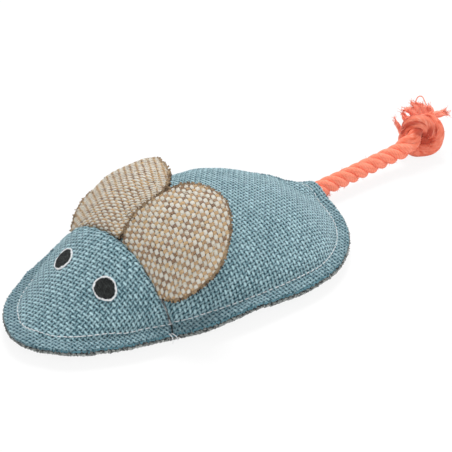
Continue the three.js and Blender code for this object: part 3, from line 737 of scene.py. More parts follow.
materials = {
    "blue": wovenMaterial("blueCanvas", blueWeave),
    "grey": wovenMaterial("saltAndPepperWeave", greyWeave),
    "ear": wovenMaterial("earWeave", earWeave),
    "earBack": wovenMaterial("earBackingWeave", earBackWeave),
    "rope": yarnMaterial("coralRopeYarn", ropeYarn),
    "knot": yarnMaterial("coralKnotYarn", knotYarn),
    "fray": yarnMaterial("coralOpenYarn", frayYarn),
    "white": yarnMaterial("whiteThread", whiteThread),
    "black": yarnMaterial("blackThread", blackThread),
    "blueThread": yarnMaterial("looseBlueYarn", blueThread),
    "greyThread": yarnMaterial("looseGreyYarn", greyThread),
    "darkThread": yarnMaterial("looseBackingYarn", darkThread),
    "tanThread": yarnMaterial("looseEarYarn", tanThread),
    "creamThread": yarnMaterial("creamThread", creamThread),
    "catnip": loftMaterial("driedCatnipFlakes", {
        "scale": 900, "low": linear(66, 74, 38), "high": linear(142, 146, 92), "depth": 0.6}),
    "fibre": loftMaterial("cardedFibre", {
        "scale": 500, "low": linear(214, 214, 210), "high": linear(244, 244, 242), "depth": 0.4}),
}
print("materials made")


def makeThreadTree():
    # one short bent thread on each point; the points carry aim, up and reach
    tree = bpy.data.node_groups.new("threadsOnPoints", "GeometryNodeTree")
    tree.interface.new_socket(name="Geometry", in_out="OUTPUT", socket_type="NodeSocketGeometry")
    for name, kind in (("Points", "Geometry"), ("Thread Radius", "Float"), ("Arch", "Float"),
                       ("End Share", "Float"), ("Sides", "Int"), ("Segments", "Int"), ("Uneven", "Float"),
                       ("Seed", "Int"), ("Material", "Material")):
        tree.interface.new_socket(name=name, in_out="INPUT", socket_type="NodeSocket" + kind)
    given = tree.nodes.new("NodeGroupInput").outputs
    arch = Value(tree, given["Arch"])

    def named(name, kind):
        node = addNode(tree, "GeometryNodeInputNamedAttribute", {"data_type": kind}, {"Name": name})
        return next(s for s in node.outputs if s.enabled and s.name == "Attribute")

    def stored(geometry, name, value, kind="FLOAT", domain="POINT"):
        node = addNode(tree, "GeometryNodeStoreNamedAttribute", {"data_type": kind, "domain": domain},
                       {"Geometry": geometry, "Name": name})
        slot = next(s for s in node.inputs if s.enabled and s.name == "Value")
        tree.links.new(value.socket if isinstance(value, Value) else value, slot)
        return node.outputs[0]

    low = joined(tree, 0.5, 0.0, -arch)
    curve = addNode(tree, "GeometryNodeCurveQuadraticBezier", {}, {
        "Resolution": given["Segments"], "Start": joined(tree, -0.5, 0.0, -arch),
        "Middle": joined(tree, 0.0, 0.0, arch), "End": low})
    along = Value(tree, addNode(tree, "GeometryNodeSplineParameter").outputs["Factor"])
    taper = 1 - (1 - Value(tree, given["End Share"])) * abs(along * 2 - 1) ** 3
    curve = addNode(tree, "GeometryNodeSetCurveRadius", {}, {
        "Curve": curve.outputs[0], "Radius": taper}).outputs[0]
    curve = stored(curve, "along", along)
    rim = addNode(tree, "GeometryNodeCurvePrimitiveCircle", {}, {
        "Resolution": given["Sides"], "Radius": given["Thread Radius"]}).outputs[0]
    rim = stored(rim, "around", Value(tree, addNode(tree, "GeometryNodeSplineParameter").outputs["Factor"]))
    thread = addNode(tree, "GeometryNodeCurveToMesh", {}, {
        "Curve": curve, "Profile Curve": rim, "Fill Caps": True}).outputs[0]
    turn = addNode(tree, "FunctionNodeAlignRotationToVector", {"axis": "X"}, {
        "Vector": named("aim", "FLOAT_VECTOR")}).outputs[0]
    turn = addNode(tree, "FunctionNodeAlignRotationToVector", {"axis": "Z", "pivot_axis": "X"}, {
        "Rotation": turn, "Vector": named("up", "FLOAT_VECTOR")}).outputs[0]
    uneven = Value(tree, given["Uneven"])
    chance = addNode(tree, "FunctionNodeRandomValue", {"data_type": "FLOAT"}, {"Seed": given["Seed"]})
    chance = Value(tree, next(s for s in chance.outputs if s.enabled))
    fat = 1 + (chance * 2 - 1) * uneven
    reach = Value(tree, named("reach", "FLOAT"))
    placed = addNode(tree, "GeometryNodeInstanceOnPoints", {}, {
        "Points": given["Points"], "Instance": thread, "Rotation": turn,
        "Scale": joined(tree, reach, fat, fat)}).outputs[0]
    whole = addNode(tree, "GeometryNodeRealizeInstances", {}, {"Geometry": placed}).outputs[0]
    across = Value(tree, named("around", "FLOAT"))
    length = Value(tree, named("along", "FLOAT")) * Value(tree, named("reach", "FLOAT")) * 1000
    whole = stored(whole, "yarns", joined(tree, across, length, 0.0), "FLOAT2", "CORNER")
    whole = addNode(tree, "GeometryNodeSetMaterial", {}, {
        "Geometry": whole, "Material": given["Material"]}).outputs[0]
    tree.links.new(whole, tree.nodes.new("NodeGroupOutput").inputs[0])
    return tree


threadTree = makeThreadTree()


def threads(name, spots, aims, ups, reach, c, mat):
    # points with their directions go through the tree and come back as one plain mesh
    mesh = bpy.data.meshes.new(name)
    mesh.from_pydata((np.asarray(spots) * mm).tolist(), [], [])
    for key, kind, field, values in (("aim", "FLOAT_VECTOR", "vector", unit(np.asarray(aims))),
                                     ("up", "FLOAT_VECTOR", "vector", unit(np.asarray(ups))),
                                     ("reach", "FLOAT", "value", np.asarray(reach) * mm)):
        values = np.ascontiguousarray(values, np.float32).ravel()
        mesh.attributes.new(key, kind, "POINT").data.foreach_set(field, values)
    seeds = bpy.data.objects.new(name + "_points", mesh)
    bpy.context.collection.objects.link(seeds)
    modifier = seeds.modifiers.new("threads", "NODES")
    modifier.node_group = threadTree
    values = {"Thread Radius": c["radius"] * mm, "Arch": c["arch"] * mm, "End Share": c["endShare"],
              "Sides": c["sides"], "Segments": c["segments"], "Uneven": c["uneven"], "Seed": c["seed"],
              "Material": mat}
    for item in threadTree.interface.items_tree:
        if item.in_out == "INPUT" and item.name in values:
            modifier[item.identifier] = values[item.name]
    grown = seeds.evaluated_get(bpy.context.evaluated_depsgraph_get())
    plain = bpy.data.meshes.new_from_object(grown)
    bpy.data.objects.remove(seeds)
    plain.name = name
    obj = bpy.data.objects.new(name, plain)
    bpy.context.collection.objects.link(obj)
    return obj


# the rope tail: routes in mm, then places along the free rope where it tightens and swells
rope = {
    "strandRadius": 1.9, "centreRadius": 2.08, "lay": 17.6, "sides": 20, "step": 0.5, "phase": 0.4,
    "rootRoute": [(0, 75.5, 6.65), (0, 80, 6.65), (0, 83.5, 6.65), (0, 86.7, 6.65), (0, 88.2, 6.62)],
    "route": [(0, 86.7, 6.65), (0, 91.1, 6.6), (0.5, 98, 6.8), (1, 108, 7.1), (1.6, 118, 7.6),
              (2.4, 127, 8.3), (3.2, 133, 9.0)],
    "pieceLength": 50.5, "rootLength": 11.2, "rootShrink": (0.72, 0.28, 2, 9), "tightens": (46, 58),
    "swell": (0.16, 53, 6),
}
# the overhand knot: its middle and the rope's way through it, in mm from that middle
knot = {
    "centre": (2.4, 149.0, 10.7), "size": (0.88, 0.72, 1.0), "strandRadius": 2.4, "centreRadius": 1.15,
    "lay": 45,
    "path": [(1.9, -12.6, 1.5), (1.2, -9.8, 3.6), (0.4, -6.9, 4.4), (-0.9, -4.0, 3.6), (-2.8, -1.8, 3.0),
             (-4.1, 0.5, 3.8), (-3.8, 3.0, 4.8), (-2.3, 5.5, 5.7), (0.0, 7.6, 5.4), (2.5, 8.7, 4.0),
             (4.5, 8.8, 1.7), (5.6, 7.9, -1.0), (5.6, 6.0, -3.5), (4.5, 3.7, -5.2), (2.7, 1.4, -6.0),
             (0.7, -0.9, -6.5), (-1.3, -3.3, -6.8), (-3.1, -5.6, -5.8), (-4.4, -7.4, -3.7),
             (-4.8, -8.4, -0.8), (-4.2, -8.3, 2.2), (-3.2, -8.4, 6.4), (-1.0, -6.0, 8.4), (0.9, -2.6, 8.5),
             (2.2, -0.1, 6.8), (2.3, 2.0, 3.6), (0.8, 3.7, 0.3), (-0.7, 6.9, -0.6), (-2.0, 10.6, 0.2),
             (-3.6, 12.8, 1.8), (-5.2, 13.2, 3.6), (-6.4, 12.0, 5.2)],
    "core": [(2.4, 148.8, 9.6), (4.2, 150.2, 9.4), (6.0, 151.6, 9.0)], "coreRadius": 2.5, "coreShade": 0.7,
    "contactShade": 0.7, "shadeFade": 0.5, "turnApart": 16, "knotShade": (0.1, 54, 66),
}


def strandTubes(line, phase, radius, centre, sides, uStart=0.0):
    _, n, b = framesAlong(line)
    s = uStart + np.r_[0, np.cumsum(np.linalg.norm(np.diff(line, axis=0), axis=1))]
    tubes = []
    for k in range(3):
        angle = phase + 2 * math.pi * k / 3
        out = np.cos(angle)[:, None] * n + np.sin(angle)[:, None] * b
        tubes.append((line + out * centre[:, None], radius, sides, {"uOffset": k / 3, "lengthFrom": s[0]}))
    return s, tubes


def cutTubes(tubes, first, last):
    return [(path[first:last], radius[first:last], sides, dict(
        extra, lengthFrom=extra["lengthFrom"] + first * rope["step"], crease=extra["crease"][first:last]))
        for path, radius, sides, extra in tubes]


def shadeWhereTurnsTouch(tubes, apart, fade):
    # painted shade: darkens each tube where another turn of the rope lies against it
    for path, radius, sides, extra in tubes:
        n = len(path)
        skin = np.array(tubeData(path, radius, sides)[0][:n * sides])
        away = 99.0
        near = np.full(n * sides, away)
        turn = np.repeat(np.arange(n), sides)
        for other, size, _, _ in tubes:
            gap = np.linalg.norm(skin[:, None] - other[None], axis=2) - size[None]
            gap[np.abs(turn[:, None] - np.arange(n)[None]) < apart] = away
            near = np.minimum(near, gap.min(1))
        extra["crease"] = np.exp(-(np.maximum(near, 0) / fade) ** 2).reshape(n, sides)


rootLine = smoothLine(rope["rootRoute"], rope["step"])
rootS = np.linspace(0, rope["step"] * (len(rootLine) - 1), len(rootLine))
least, more, low, high = rope["rootShrink"]
shrink = least + more * smoothStep(rootS, low, high)
_, rootTubes = strandTubes(rootLine, 2 * math.pi * rootS / rope["lay"] + rope["phase"],
                           rope["strandRadius"] * shrink, rope["centreRadius"] * shrink, rope["sides"])
ropeRoot = tubesObject("rope_root", rootTubes, materials["rope"])
# the free rope and the knot are one line of strands, cut in two afterwards
meet = rope["rootLength"]
knotPath = np.array(knot["path"]) * knot["size"] + knot["centre"]
fullLine = smoothLine(rope["route"] + knotPath.tolist(), rope["step"])
fullS = rope["step"] * np.arange(len(fullLine))
tight = smoothStep(fullS, *rope["tightens"])
lay = 1 / (1 / rope["lay"] + tight * (1 / knot["lay"] - 1 / rope["lay"]))
phase = 2 * math.pi * (meet / rope["lay"] + np.r_[0, np.cumsum(rope["step"] / lay[:-1])]) + rope["phase"]
height, at, reach = rope["swell"]
swell = 1 + height * np.exp(-((fullS - at) / reach) ** 2)
strandRadius = swell * (rope["strandRadius"] + tight * (knot["strandRadius"] - rope["strandRadius"]))
centreRadius = swell * (rope["centreRadius"] + tight * (knot["centreRadius"] - rope["centreRadius"]))
_, fullTubes = strandTubes(fullLine, phase, strandRadius, centreRadius, rope["sides"], meet)
shadeWhereTurnsTouch(fullTubes, knot["turnApart"], knot["shadeFade"])
# painted shade: the knot as a whole darker, on top of the shade where turns touch
knotShade, low, high = knot["knotShade"]
for _, _, _, extra in fullTubes:
    extra["crease"] = knot["contactShade"] * extra["crease"] + (knotShade * smoothStep(fullS, low, high))[:, None]
cut = int(rope["pieceLength"] / rope["step"])
tailRope = tubesObject("rope_tail", cutTubes(fullTubes, 0, cut + 1), materials["rope"])
knotTubes = cutTubes(fullTubes, cut - 1, len(fullLine))
# the crushed middle of the knot, darkened all over as painted shade
core = smoothLine(knot["core"], rope["step"])
coreShade = np.full((len(core), rope["sides"]), knot["coreShade"])
knotTubes.append((core, knot["coreRadius"], rope["sides"], {"crease": coreShade}))
knotPiece = tubesObject("rope_knot", knotTubes, materials["knot"])
tailLine, tailS = fullLine[:cut + 1], fullS[:cut + 1]
print("rope laid and knotted")

# the frayed end: strands open into yarns; the first number is how thick a yarn is
fray = {
    "seed": 12, "spread": 0.55, "wave": 0.3, "sides": 8,
    "yarns": [(2.5, 1,
               [(-4.3, 158.1, 11.9), (-7.8, 156.1, 14.9), (-10.2, 154.3, 16.7), (-11.3, 152.7, 17.4)]),
              (2.5, 1, [(-4.4, 158.8, 12.7), (-7.5, 157.7, 16.1), (-9.0, 157.1, 18.3), (-9.8, 155.8, 19.0)]),
              (2.5, 1, [(-3.7, 159.5, 12.7), (-6.1, 159.6, 16.5), (-7.1, 159.1, 18.4), (-7.6, 158.2, 19.0)]),
              (2.4, 1, [(-2.9, 160.0, 12.4), (-3.8, 161.3, 15.8), (-4.0, 161.4, 17.3), (-4.5, 160.5, 17.9)]),
              (2.0, 1, [(-1.5, 159.9, 12.5), (-1.0, 162.3, 15.6), (1.0, 164.3, 16.5), (2.0, 165.0, 16.9)]),
              (2.2, 1, [(-4.8, 154.7, 10.8), (-7.7, 152.7, 13.0), (-9.5, 151.1, 14.4), (-10.4, 150.5, 15.9)]),
              (1.5, 1, [(-2.4, 148.3, 6.8), (-6.0, 145.8, 9.3), (-8.1, 145.0, 11.9), (-9.8, 144.6, 14.6)]),
              (1.1, 5,
               [(-4.2, 157.3, 12.8), (-7.8, 155.3, 15.8), (-10.1, 153.5, 17.6), (-11.4, 151.7, 18.2)]),
              (1.1, 5, [(-4.3, 157.9, 13.6), (-7.4, 156.8, 17.0), (-9.0, 156.2, 19.2), (-10.0, 155.1, 20.2)]),
              (1.1, 5, [(-3.4, 159.0, 13.6), (-5.7, 159.0, 17.4), (-6.8, 158.6, 19.3), (-7.8, 157.5, 20.3)]),
              (1.1, 5, [(-2.5, 159.5, 13.2), (-3.4, 160.8, 16.7), (-3.9, 161.0, 18.5), (-4.9, 159.9, 19.6)]),
              (0.85, 5, [(-1.2, 159.3, 13.4), (-0.6, 161.8, 16.4), (1.6, 164.2, 17.6), (2.9, 165.3, 18.1)]),
              (0.85, 5, [(-0.8, 159.0, 12.6), (-0.2, 161.5, 15.7), (2.1, 163.7, 16.4), (3.6, 164.8, 16.6)]),
              (0.9, 5, [(-4.9, 153.3, 11.3), (-7.7, 151.3, 13.5), (-9.4, 150.2, 15.3), (-11.0, 149.6, 17.5)]),
              (0.8, 5,
               [(-2.3, 147.4, 7.7), (-5.9, 144.9, 10.2), (-8.2, 144.3, 13.2), (-10.1, 144.0, 16.2)])],
    "loop": [(-9.3, 156.5, 19.5), (-9.6, 157.8, 22.3), (-8.9, 158.7, 23.6), (-7.5, 159.2, 23.6),
             (-5.7, 158.8, 22.3), (-4.0, 158.4, 21.0)],
    "loopRadius": 0.27, "loopSides": 7,
}
# loose fibres: a count for each tip, each strand and the wisp, and how long they are
fuzzOf = {
    "seed": 3, "tipCount": 5, "tipReach": (1.2, 3.0), "tipScatter": 0.3, "skinCount": 150,
    "skinReach": (1.2, 3.4), "wispCount": 26, "wispAt": (3.0, 87.2, 4.6), "wispReach": (1.5, 3.2),
    "wispScatter": 0.5, "lowest": 1.5,
    "fibre": {"radius": 0.07, "arch": 0.7, "endShare": 0.4, "sides": 4, "segments": 4, "uneven": 0.4,
              "seed": 5},
}


def frayTubes():
    rng = np.random.default_rng(fray["seed"])
    tubes, tips = [], []
    for radius, count, route in fray["yarns"]:
        line = smoothLine(route, 0.7)
        share = np.linspace(0, 1, len(line))
        for k in range(count):
            # the first of a bundle keeps to the route
            drift = rng.normal(0, 1, 3) * fray["spread"] * (1.0 if k else 0.2)
            wave = rng.uniform(0, 6.28, 3)
            sway = fray["wave"] * np.sin(share[:, None] * rng.uniform(5, 9) + wave) * share[:, None]
            path = line + share[:, None] ** 1.4 * drift + sway
            end = len(path) - (rng.integers(0, max(1, len(path) // 4)) if k else 0)
            thick = radius * (rng.uniform(0.65, 1.0) if count > 1 else 1) * (1 - 0.5 * share[:end] ** 3)
            tubes.append((path[:end], thick, fray["sides"], {"uOffset": rng.uniform()}))
            tips.append((path[end - 1], path[end - 1] - path[end - 3]))
    tubes.append((smoothLine(fray["loop"], 0.5), fray["loopRadius"], fray["loopSides"], {}))
    return tubes, tips


def ropeFuzz(tips, c):
    rng = np.random.default_rng(c["seed"])
    spots, aims, reach = [], [], []
    for place, ahead in tips:
        for _ in range(c["tipCount"]):
            go = ahead / np.linalg.norm(ahead) + rng.normal(0, 0.5, 3)
            long = rng.uniform(*c["tipReach"])
            spots.append(place + rng.normal(0, c["tipScatter"], 3) + unit(go) * (long * 0.5 - 0.8))
            aims.append(go)
            reach.append(long)
    for line, radius, _, _ in fullTubes:
        for _ in range(c["skinCount"]):
            i = rng.integers(2, len(line) - 2)
            ahead = unit(line[i + 1] - line[i - 1])
            side = unit(np.cross(ahead, rng.normal(0, 1, 3)))
            spots.append(line[i] + side * (radius[i] + 0.02))
            aims.append(ahead * rng.choice([-1, 1]) + side * rng.uniform(0.05, 0.5))
            reach.append(rng.uniform(*c["skinReach"]))
    for _ in range(c["wispCount"]):
        # a wisp where the rope leaves the sewn edge
        spots.append(np.array(c["wispAt"]) + rng.normal(0, c["wispScatter"], 3))
        aims.append((rng.normal(0.4, 0.4), rng.normal(0.2, 0.4), rng.normal(-0.7, 0.3)))
        reach.append(rng.uniform(*c["wispReach"]))
    spots = np.array(spots)
    spots[:, 2] = np.maximum(spots[:, 2], c["lowest"])
    return threads("rope_fuzz", spots, aims, rng.normal(0, 1, (len(spots), 3)), reach, c["fibre"],
                   materials["fray"])


openTubes, tips = frayTubes()
frayPiece = tubesObject("rope_fray", openTubes, materials["fray"])
fuzz = ropeFuzz(tips, fuzzOf)
print("rope end frayed")

# the cloth body: pitches are the yarns' spacing across and along, leans how far the rows run off square
cloth = {
    "relief": 0.55, "greyRelief": 0.3, "thickness": 0.6, "headPitch": (1.70, 1.62), "backPitch": (1.65, 1.86),
    "greyPitch": 1.6, "headLean": 0.17, "backLean": 0.14, "crestShare": 0.72,
    "headSpan": ((-46, 46), (-54, 10)), "backSpan": ((-48, 60), (-7, 76)), "greySpan": ((-34, 34), (-60, 84)),
    "blueInset": -0.9, "greyInset": -0.3, "seamGap": 0.15, "endGap": 0.2,
    # the entries after rawWaves are depths of painted shade on the cloth
    "rawWaves": ((0.3, 9, 33), (0.35, 3, 34)), "flatEdgeShade": 0.24, "nearShadow": (0.1, -14, 14),
    "noseShadow": 0.08, "neckFoldShade": (0.3, 1.6),
}


def yTable():
    # places along the crest and how much cloth lies before each
    y = np.linspace(-body["halfLength"] - 3, body["halfLength"] + 3, 1200)
    sewnEnd = 75.9
    z = upperZ(np.zeros_like(y), np.clip(y, -sewnEnd, sewnEnd))
    arc = np.r_[0, np.cumsum(np.hypot(np.diff(y), cloth["crestShare"] * np.diff(z)))]
    return y, arc - np.interp(body["neck"], y, arc)


ySteps, yArc = yTable()


def bodyPlace(surface, pitchX, pitchY, turn=0.0, lean=0.0, sag=1.0):
    # turn: how far the crosswise yarns run back; lean: how far the lengthwise ones run inwards
    far, step = 84, 0.5
    halfX = np.linspace(0, 58, 500)
    yGrid = np.linspace(-far, far, int(2 * far / step) + 1)
    arcs = np.array([np.r_[0, np.cumsum(np.hypot(
        np.diff(halfX), sag * np.diff(surface(halfX, np.full_like(halfX, y)))))] for y in yGrid])

    def place(uu, vv):
        arcX, arcY = uu * pitchX, vv * pitchY
        arcY, arcX = arcY + turn * arcX, arcX - lean * (arcY + turn * arcX)
        y = np.interp(arcY, yArc, ySteps)
        k = np.clip(np.round((y + far) / step).astype(int), 0, len(yGrid) - 1)
        x = np.empty_like(y)
        for one in np.unique(k):
            here = k == one
            x[here] = np.sign(arcX[here]) * np.interp(np.abs(arcX[here]), arcs[one], halfX)
        return np.stack([x, y, surface(x, y)], -1)
    return place


def rawEdge(x, y, extra):
    w = np.interp(y, *rawWidth) + extra
    for wave in cloth["rawWaves"]:
        w = w + waves(x, y, wave)
    return (np.abs(x) < w) & (np.abs(y) < body["halfLength"] - cloth["endGap"])


def paintedClothShade(x, y):
    # painted shade: darker along the pressed-flat sewn edge, more so on the near side and on the far side of
    # the nose, and in the fold of the neck seam
    flat = smoothStep(-fromSeam(x, y), -1.5, 1.5)
    depth, at, reach = cloth["nearShadow"]
    shadow = depth * np.exp(-((y - at) / reach) ** 2) * smoothStep(x, 20, 40)
    shadow = shadow + cloth["noseShadow"] * smoothStep(-y, 20, 60) * smoothStep(-x, -14, 14)
    depth, reach = cloth["neckFoldShade"]
    return cloth["flatEdgeShade"] * flat + shadow * flat + depth * np.exp(-((y - neckLine(x)) / reach) ** 2)


def inHead(u, v, p):
    x, y = p[..., 0], p[..., 1]
    return rawEdge(x, y, cloth["blueInset"]) & (y < neckLine(x) - cloth["seamGap"])


def inBack(u, v, p):
    x, y = p[..., 0], p[..., 1]
    return rawEdge(x, y, cloth["blueInset"]) & (y > neckLine(x) + cloth["seamGap"])


def inBase(u, v, p):
    return rawEdge(p[..., 0], p[..., 1], cloth["greyInset"])


headShell = wovenShell(
    "head_cloth", materials["blue"], blueWeave,
    bodyPlace(upperCloth, *cloth["headPitch"], cloth["headLean"], 0.0), inHead, *cloth["headSpan"],
    cloth["relief"], cloth["thickness"], crease=paintedClothShade)
backShell = wovenShell(
    "back_cloth", materials["blue"], blueWeave,
    bodyPlace(upperCloth, *cloth["backPitch"], 0.0, cloth["backLean"]), inBack, *cloth["backSpan"],
    cloth["relief"], cloth["thickness"], crease=paintedClothShade)
baseShell = wovenShell(
    "base_cloth", materials["grey"], greyWeave,
    bodyPlace(lowerCloth, cloth["greyPitch"], cloth["greyPitch"], sag=0.0),
    inBase, *cloth["greySpan"], cloth["greyRelief"], cloth["thickness"], samples=3, flip=True, inner=0.0)
print("body cloth woven")

# the ears: outlines are in shares of the width and height from the seam's middle
# yarnU and yarnV are one yarn's step in mm, middle is where the ear's rim shrinks to or grows from
ears = {
    "width": 40, "height": 39.5, "thickness": 0.45, "frontLift": 0.5, "backLift": -0.5, "frontRelief": 0.45,
    # inner is how much painted shade the ear cloth's inner side and cut edge get
    "backRelief": 0.25, "backGrow": 0.8, "inner": 0.3, "span": ((-44, 44), (-30, 30)), "tuck": -1.6,
    "middle": (0.05, 0.45), "waver": (0.25, 7, 3), "ripple": (0.5, 0.32, 1.1, 0.21),
    "curlWay": (2.6, 2.4, -2.5), "stitchInset": 4.6, "stitchStep": 2.7, "stitchLength": 2.1, "rimStep": 0.45,
    "rimReach": (0.8, 2.0),
    "left": {"out": 17.2, "tilt": 28, "lean": 28, "bend": 55, "size": 1.0, "side": 1, "root": (-0.29, 0.38),
             "curl": 0.0, "yarnU": (1.60, -0.31), "yarnV": (0.2, 1.72),
             "outline": [(-0.31, 0.03), (-0.365, 0.107), (-0.405, 0.247), (-0.417, 0.373), (-0.42, 0.515),
                         (-0.4, 0.656), (-0.375, 0.79), (-0.33, 0.9), (-0.215, 1.0), (-0.072, 1.045),
                         (0.078, 1.04), (0.208, 0.985), (0.368, 0.865), (0.48, 0.73), (0.55, 0.57),
                         (0.568, 0.399), (0.556, 0.253), (0.508, 0.125), (0.43, 0.03)]},
    "right": {"out": 12.4, "tilt": 17, "lean": 33, "bend": 70, "size": 1.06, "side": -1,
              "root": (-0.36, 0.42), "curl": 1.0, "yarnU": (0.85, -0.94), "yarnV": (-2.36, -0.04),
              "outline": [(-0.39, 0.0), (-0.465, 0.09), (-0.55, 0.25), (-0.61, 0.38), (-0.64, 0.466),
                          (-0.643, 0.536), (-0.575, 0.648), (-0.45, 0.773), (-0.28, 0.89), (-0.09, 0.974),
                          (0.102, 1.03), (0.24, 1.0), (0.33, 0.83), (0.4, 0.64), (0.44, 0.45), (0.45, 0.3),
                          (0.44, 0.15), (0.42, 0.03)]},
}


def earSurface(e):
    width, height = ears["width"] * e["size"], ears["height"] * e["size"]
    turn, lean = math.radians(e["tilt"]), math.radians(e["lean"])
    rate = math.radians(e["bend"]) / height
    seat = np.array([e["out"], body["neck"], float(upperZ(np.array(e["out"]), np.array(body["neck"])))])
    along = np.array([math.cos(turn), 0, -math.sin(turn)])
    outward = np.array([math.sin(turn), 0, math.cos(turn)])
    backward = np.array([0, 1, 0])

    def drop(s):
        s = np.clip(s, -0.33 * width, 0.42 * width)
        straight = seat + s[..., None] * along
        # how far down the ear's own plane the seam's surface is
        d = np.zeros_like(s)
        for _ in range(12):
            x = straight[..., 0] - d * outward[0]
            z = straight[..., 2] - d * outward[2]
            d = d + (z - upperZ(x, np.full_like(x, body["neck"]))) * 0.8
        return d

    def point(s, t, lift):
        angle = lean + rate * np.maximum(t, 0)
        rise = np.minimum(t, 0) + (np.sin(angle) - math.sin(lean)) / rate - drop(s)
        back = (math.cos(lean) - np.cos(angle)) / rate
        p = seat + s[..., None] * along + rise[..., None] * outward + back[..., None] * backward
        normal = np.sin(angle)[..., None] * outward - np.cos(angle)[..., None] * backward
        p = p + lift * normal
        # the inner side of the far ear curls down behind the near one
        inner = smoothStep(-s / width, 0.22, 0.64) * smoothStep(t, 0, 8) * e["curl"]
        p = p + inner[..., None] * np.array(ears["curlWay"])
        height, alongS, start, alongT = ears["ripple"]
        ripple = height * np.sin(s * alongS + start) * np.sin(t * alongT) * smoothStep(t, 2, 14)
        p = p + ripple[..., None] * normal
        p[..., 0] *= e["side"]
        return p
    outline = smoothLine(np.array(e["outline"]) * (width, height), 0.4)
    low, high = e["root"]
    outline = np.vstack([outline, [(high * width, ears["tuck"]), (low * width, ears["tuck"])]])
    return point, outline, np.array(ears["middle"]) * (width, height)


def insidePolygon(x, y, poly):
    hit = np.zeros(x.shape, bool)
    for (x0, y0), (x1, y1) in zip(poly, np.roll(poly, -1, 0)):
        if y0 == y1:
            continue
        cross = ((y0 > y) != (y1 > y)) & (x < (x1 - x0) * (y - y0) / (y1 - y0) + x0)
        hit ^= cross
    return hit


def weaveEar(side, e, layer):
    point, outline, middle = earSurface(e)
    front = layer == "front"

    def onEar(uu, vv):
        return uu * e["yarnU"][0] + vv * e["yarnV"][0], uu * e["yarnU"][1] + vv * e["yarnV"][1]

    def place(uu, vv):
        return point(*onEar(uu, vv), ears[layer + "Lift"])

    def inside(uu, vv, pos):
        s, t = onEar(uu, vv)
        ds, dt = s - middle[0], t - middle[1]
        grow = 0.0 if front else ears["backGrow"]
        k = 1 - (grow + waves(s, t, ears["waver"])) / np.maximum(np.hypot(ds, dt), 1)
        return insidePolygon(middle[0] + ds * k, middle[1] + dt * k, outline)

    turned = e["yarnU"][0] * e["yarnV"][1] - e["yarnU"][1] * e["yarnV"][0] < 0
    kind, c = ("ear", earWeave) if front else ("earBack", earBackWeave)
    obj = wovenShell("ear_%s_%s_cloth" % (side, layer), materials[kind], c, place, inside, *ears["span"],
                     ears[layer + "Relief"], ears["thickness"],
                     flip=((not front) != (e["side"] < 0)) != turned, inner=ears["inner"])
    x, y = outline.T
    return obj, point, 0.5 * abs(np.sum(x * np.roll(y, -1) - y * np.roll(x, -1)))


earPieces, earAreas = {}, {}
for side in ("left", "right"):
    for layer in ("front", "back"):
        obj, point, earAreas[side] = weaveEar(side, ears[side], layer)
        earPieces[side, layer] = (obj, point)
print("ears sewn")

# sewing thread and loose yarn ends
sewing = {
    "edge": {"radius": 0.17, "arch": 0.45, "endShare": 0.75, "sides": 6, "segments": 5, "uneven": 0.12,
             "seed": 2},
    "edgePitch": 3.0, "edgeLength": 2.35, "lengthShare": (0.85, 1.1), "lengthSeed": 5,
    "inset": (-0.4, 1.5, -0.3, -0.7), "waver": (0.25, 20, 6), "topStand": 0.1,
    "neck": {"radius": 0.16, "arch": 0.3, "endShare": 0.8, "sides": 6, "segments": 4, "uneven": 0.1,
             "seed": 3},
    "neckPitch": 2.6, "neckLength": 2.2, "looseFrom": (-4.2, 0.3),
    "loose": ([(-2.4, -32.2, 7.7), (-0.4, -32.5, 7.5), (0.5, -32.7, 6.4), (0.7, -33.0, 5.0)],
              [(-2.2, -31.2, 7.6), (-0.4, -30.8, 7.3), (0.4, -30.5, 6.4), (0.6, -30.3, 5.4)]),
    "ear": {"radius": 0.17, "arch": 0.25, "endShare": 0.8, "sides": 6, "segments": 4, "uneven": 0.1,
            "seed": 4},
    "fringe": {"radius": 0.3, "arch": 0.2, "endShare": 0.6, "sides": 5, "segments": 3, "uneven": 0.35,
               "seed": 6},
    "fringeStep": 0.5, "fringeShare": 0.85, "fringeReach": (0.7, 1.3), "blueFringe": (-0.2, -1.0, 14),
    "greyFringe": (-0.3, -0.4, 15),
}
eyes = {
    "out": 13.8, "farOut": 11.2, "back": -47.9, "farBack": -48.4, "nearShare": (1.0, 0.83),
    "farShare": (0.82, 0.92), "radius": 4.4, "rowStep": 0.4, "rowEnds": (-0.3, 0.42), "stitchLength": 2.3,
    "overlap": 0.35, "stand": 0.3, "ringRadii": (4.7, 5.08), "ringCount": 24, "ringWander": (-0.12, 0.16),
    "thickSide": (0.28, 2.2, 0.7), "ringOverlap": 0.5, "ringStand": 0.16, "ringFuzz": 0.09, "seed": 21,
    "stitch": {"radius": 0.3, "arch": 0.08, "endShare": 0.75, "sides": 6, "segments": 4, "uneven": 0.15,
               "seed": 8},
    "ring": {"radius": 0.3, "arch": 0.12, "endShare": 0.85, "sides": 6, "segments": 4, "uneven": 0.15,
             "seed": 9},
}


def ringPlaces(inset, step):
    # places along the outline with the ways ahead and out
    line = bodyRing(inset, step)
    ahead = unit(np.roll(line, -1, 0) - np.roll(line, 1, 0))
    return line, ahead, np.stack([ahead[:, 1], -ahead[:, 0]], 1)


def onCloth(x, y, surface, up=1.0):
    # the face's height there and its way up
    d = 0.3
    z = surface(x, y)
    slopeX = (surface(x + d, y) - surface(x - d, y)) / 2 / d
    slopeY = (surface(x, y + d) - surface(x, y - d)) / 2 / d
    normal = unit(np.stack([-slopeX, -slopeY, np.ones_like(x)], -1)) * up
    return np.stack([x, y, z], -1), normal


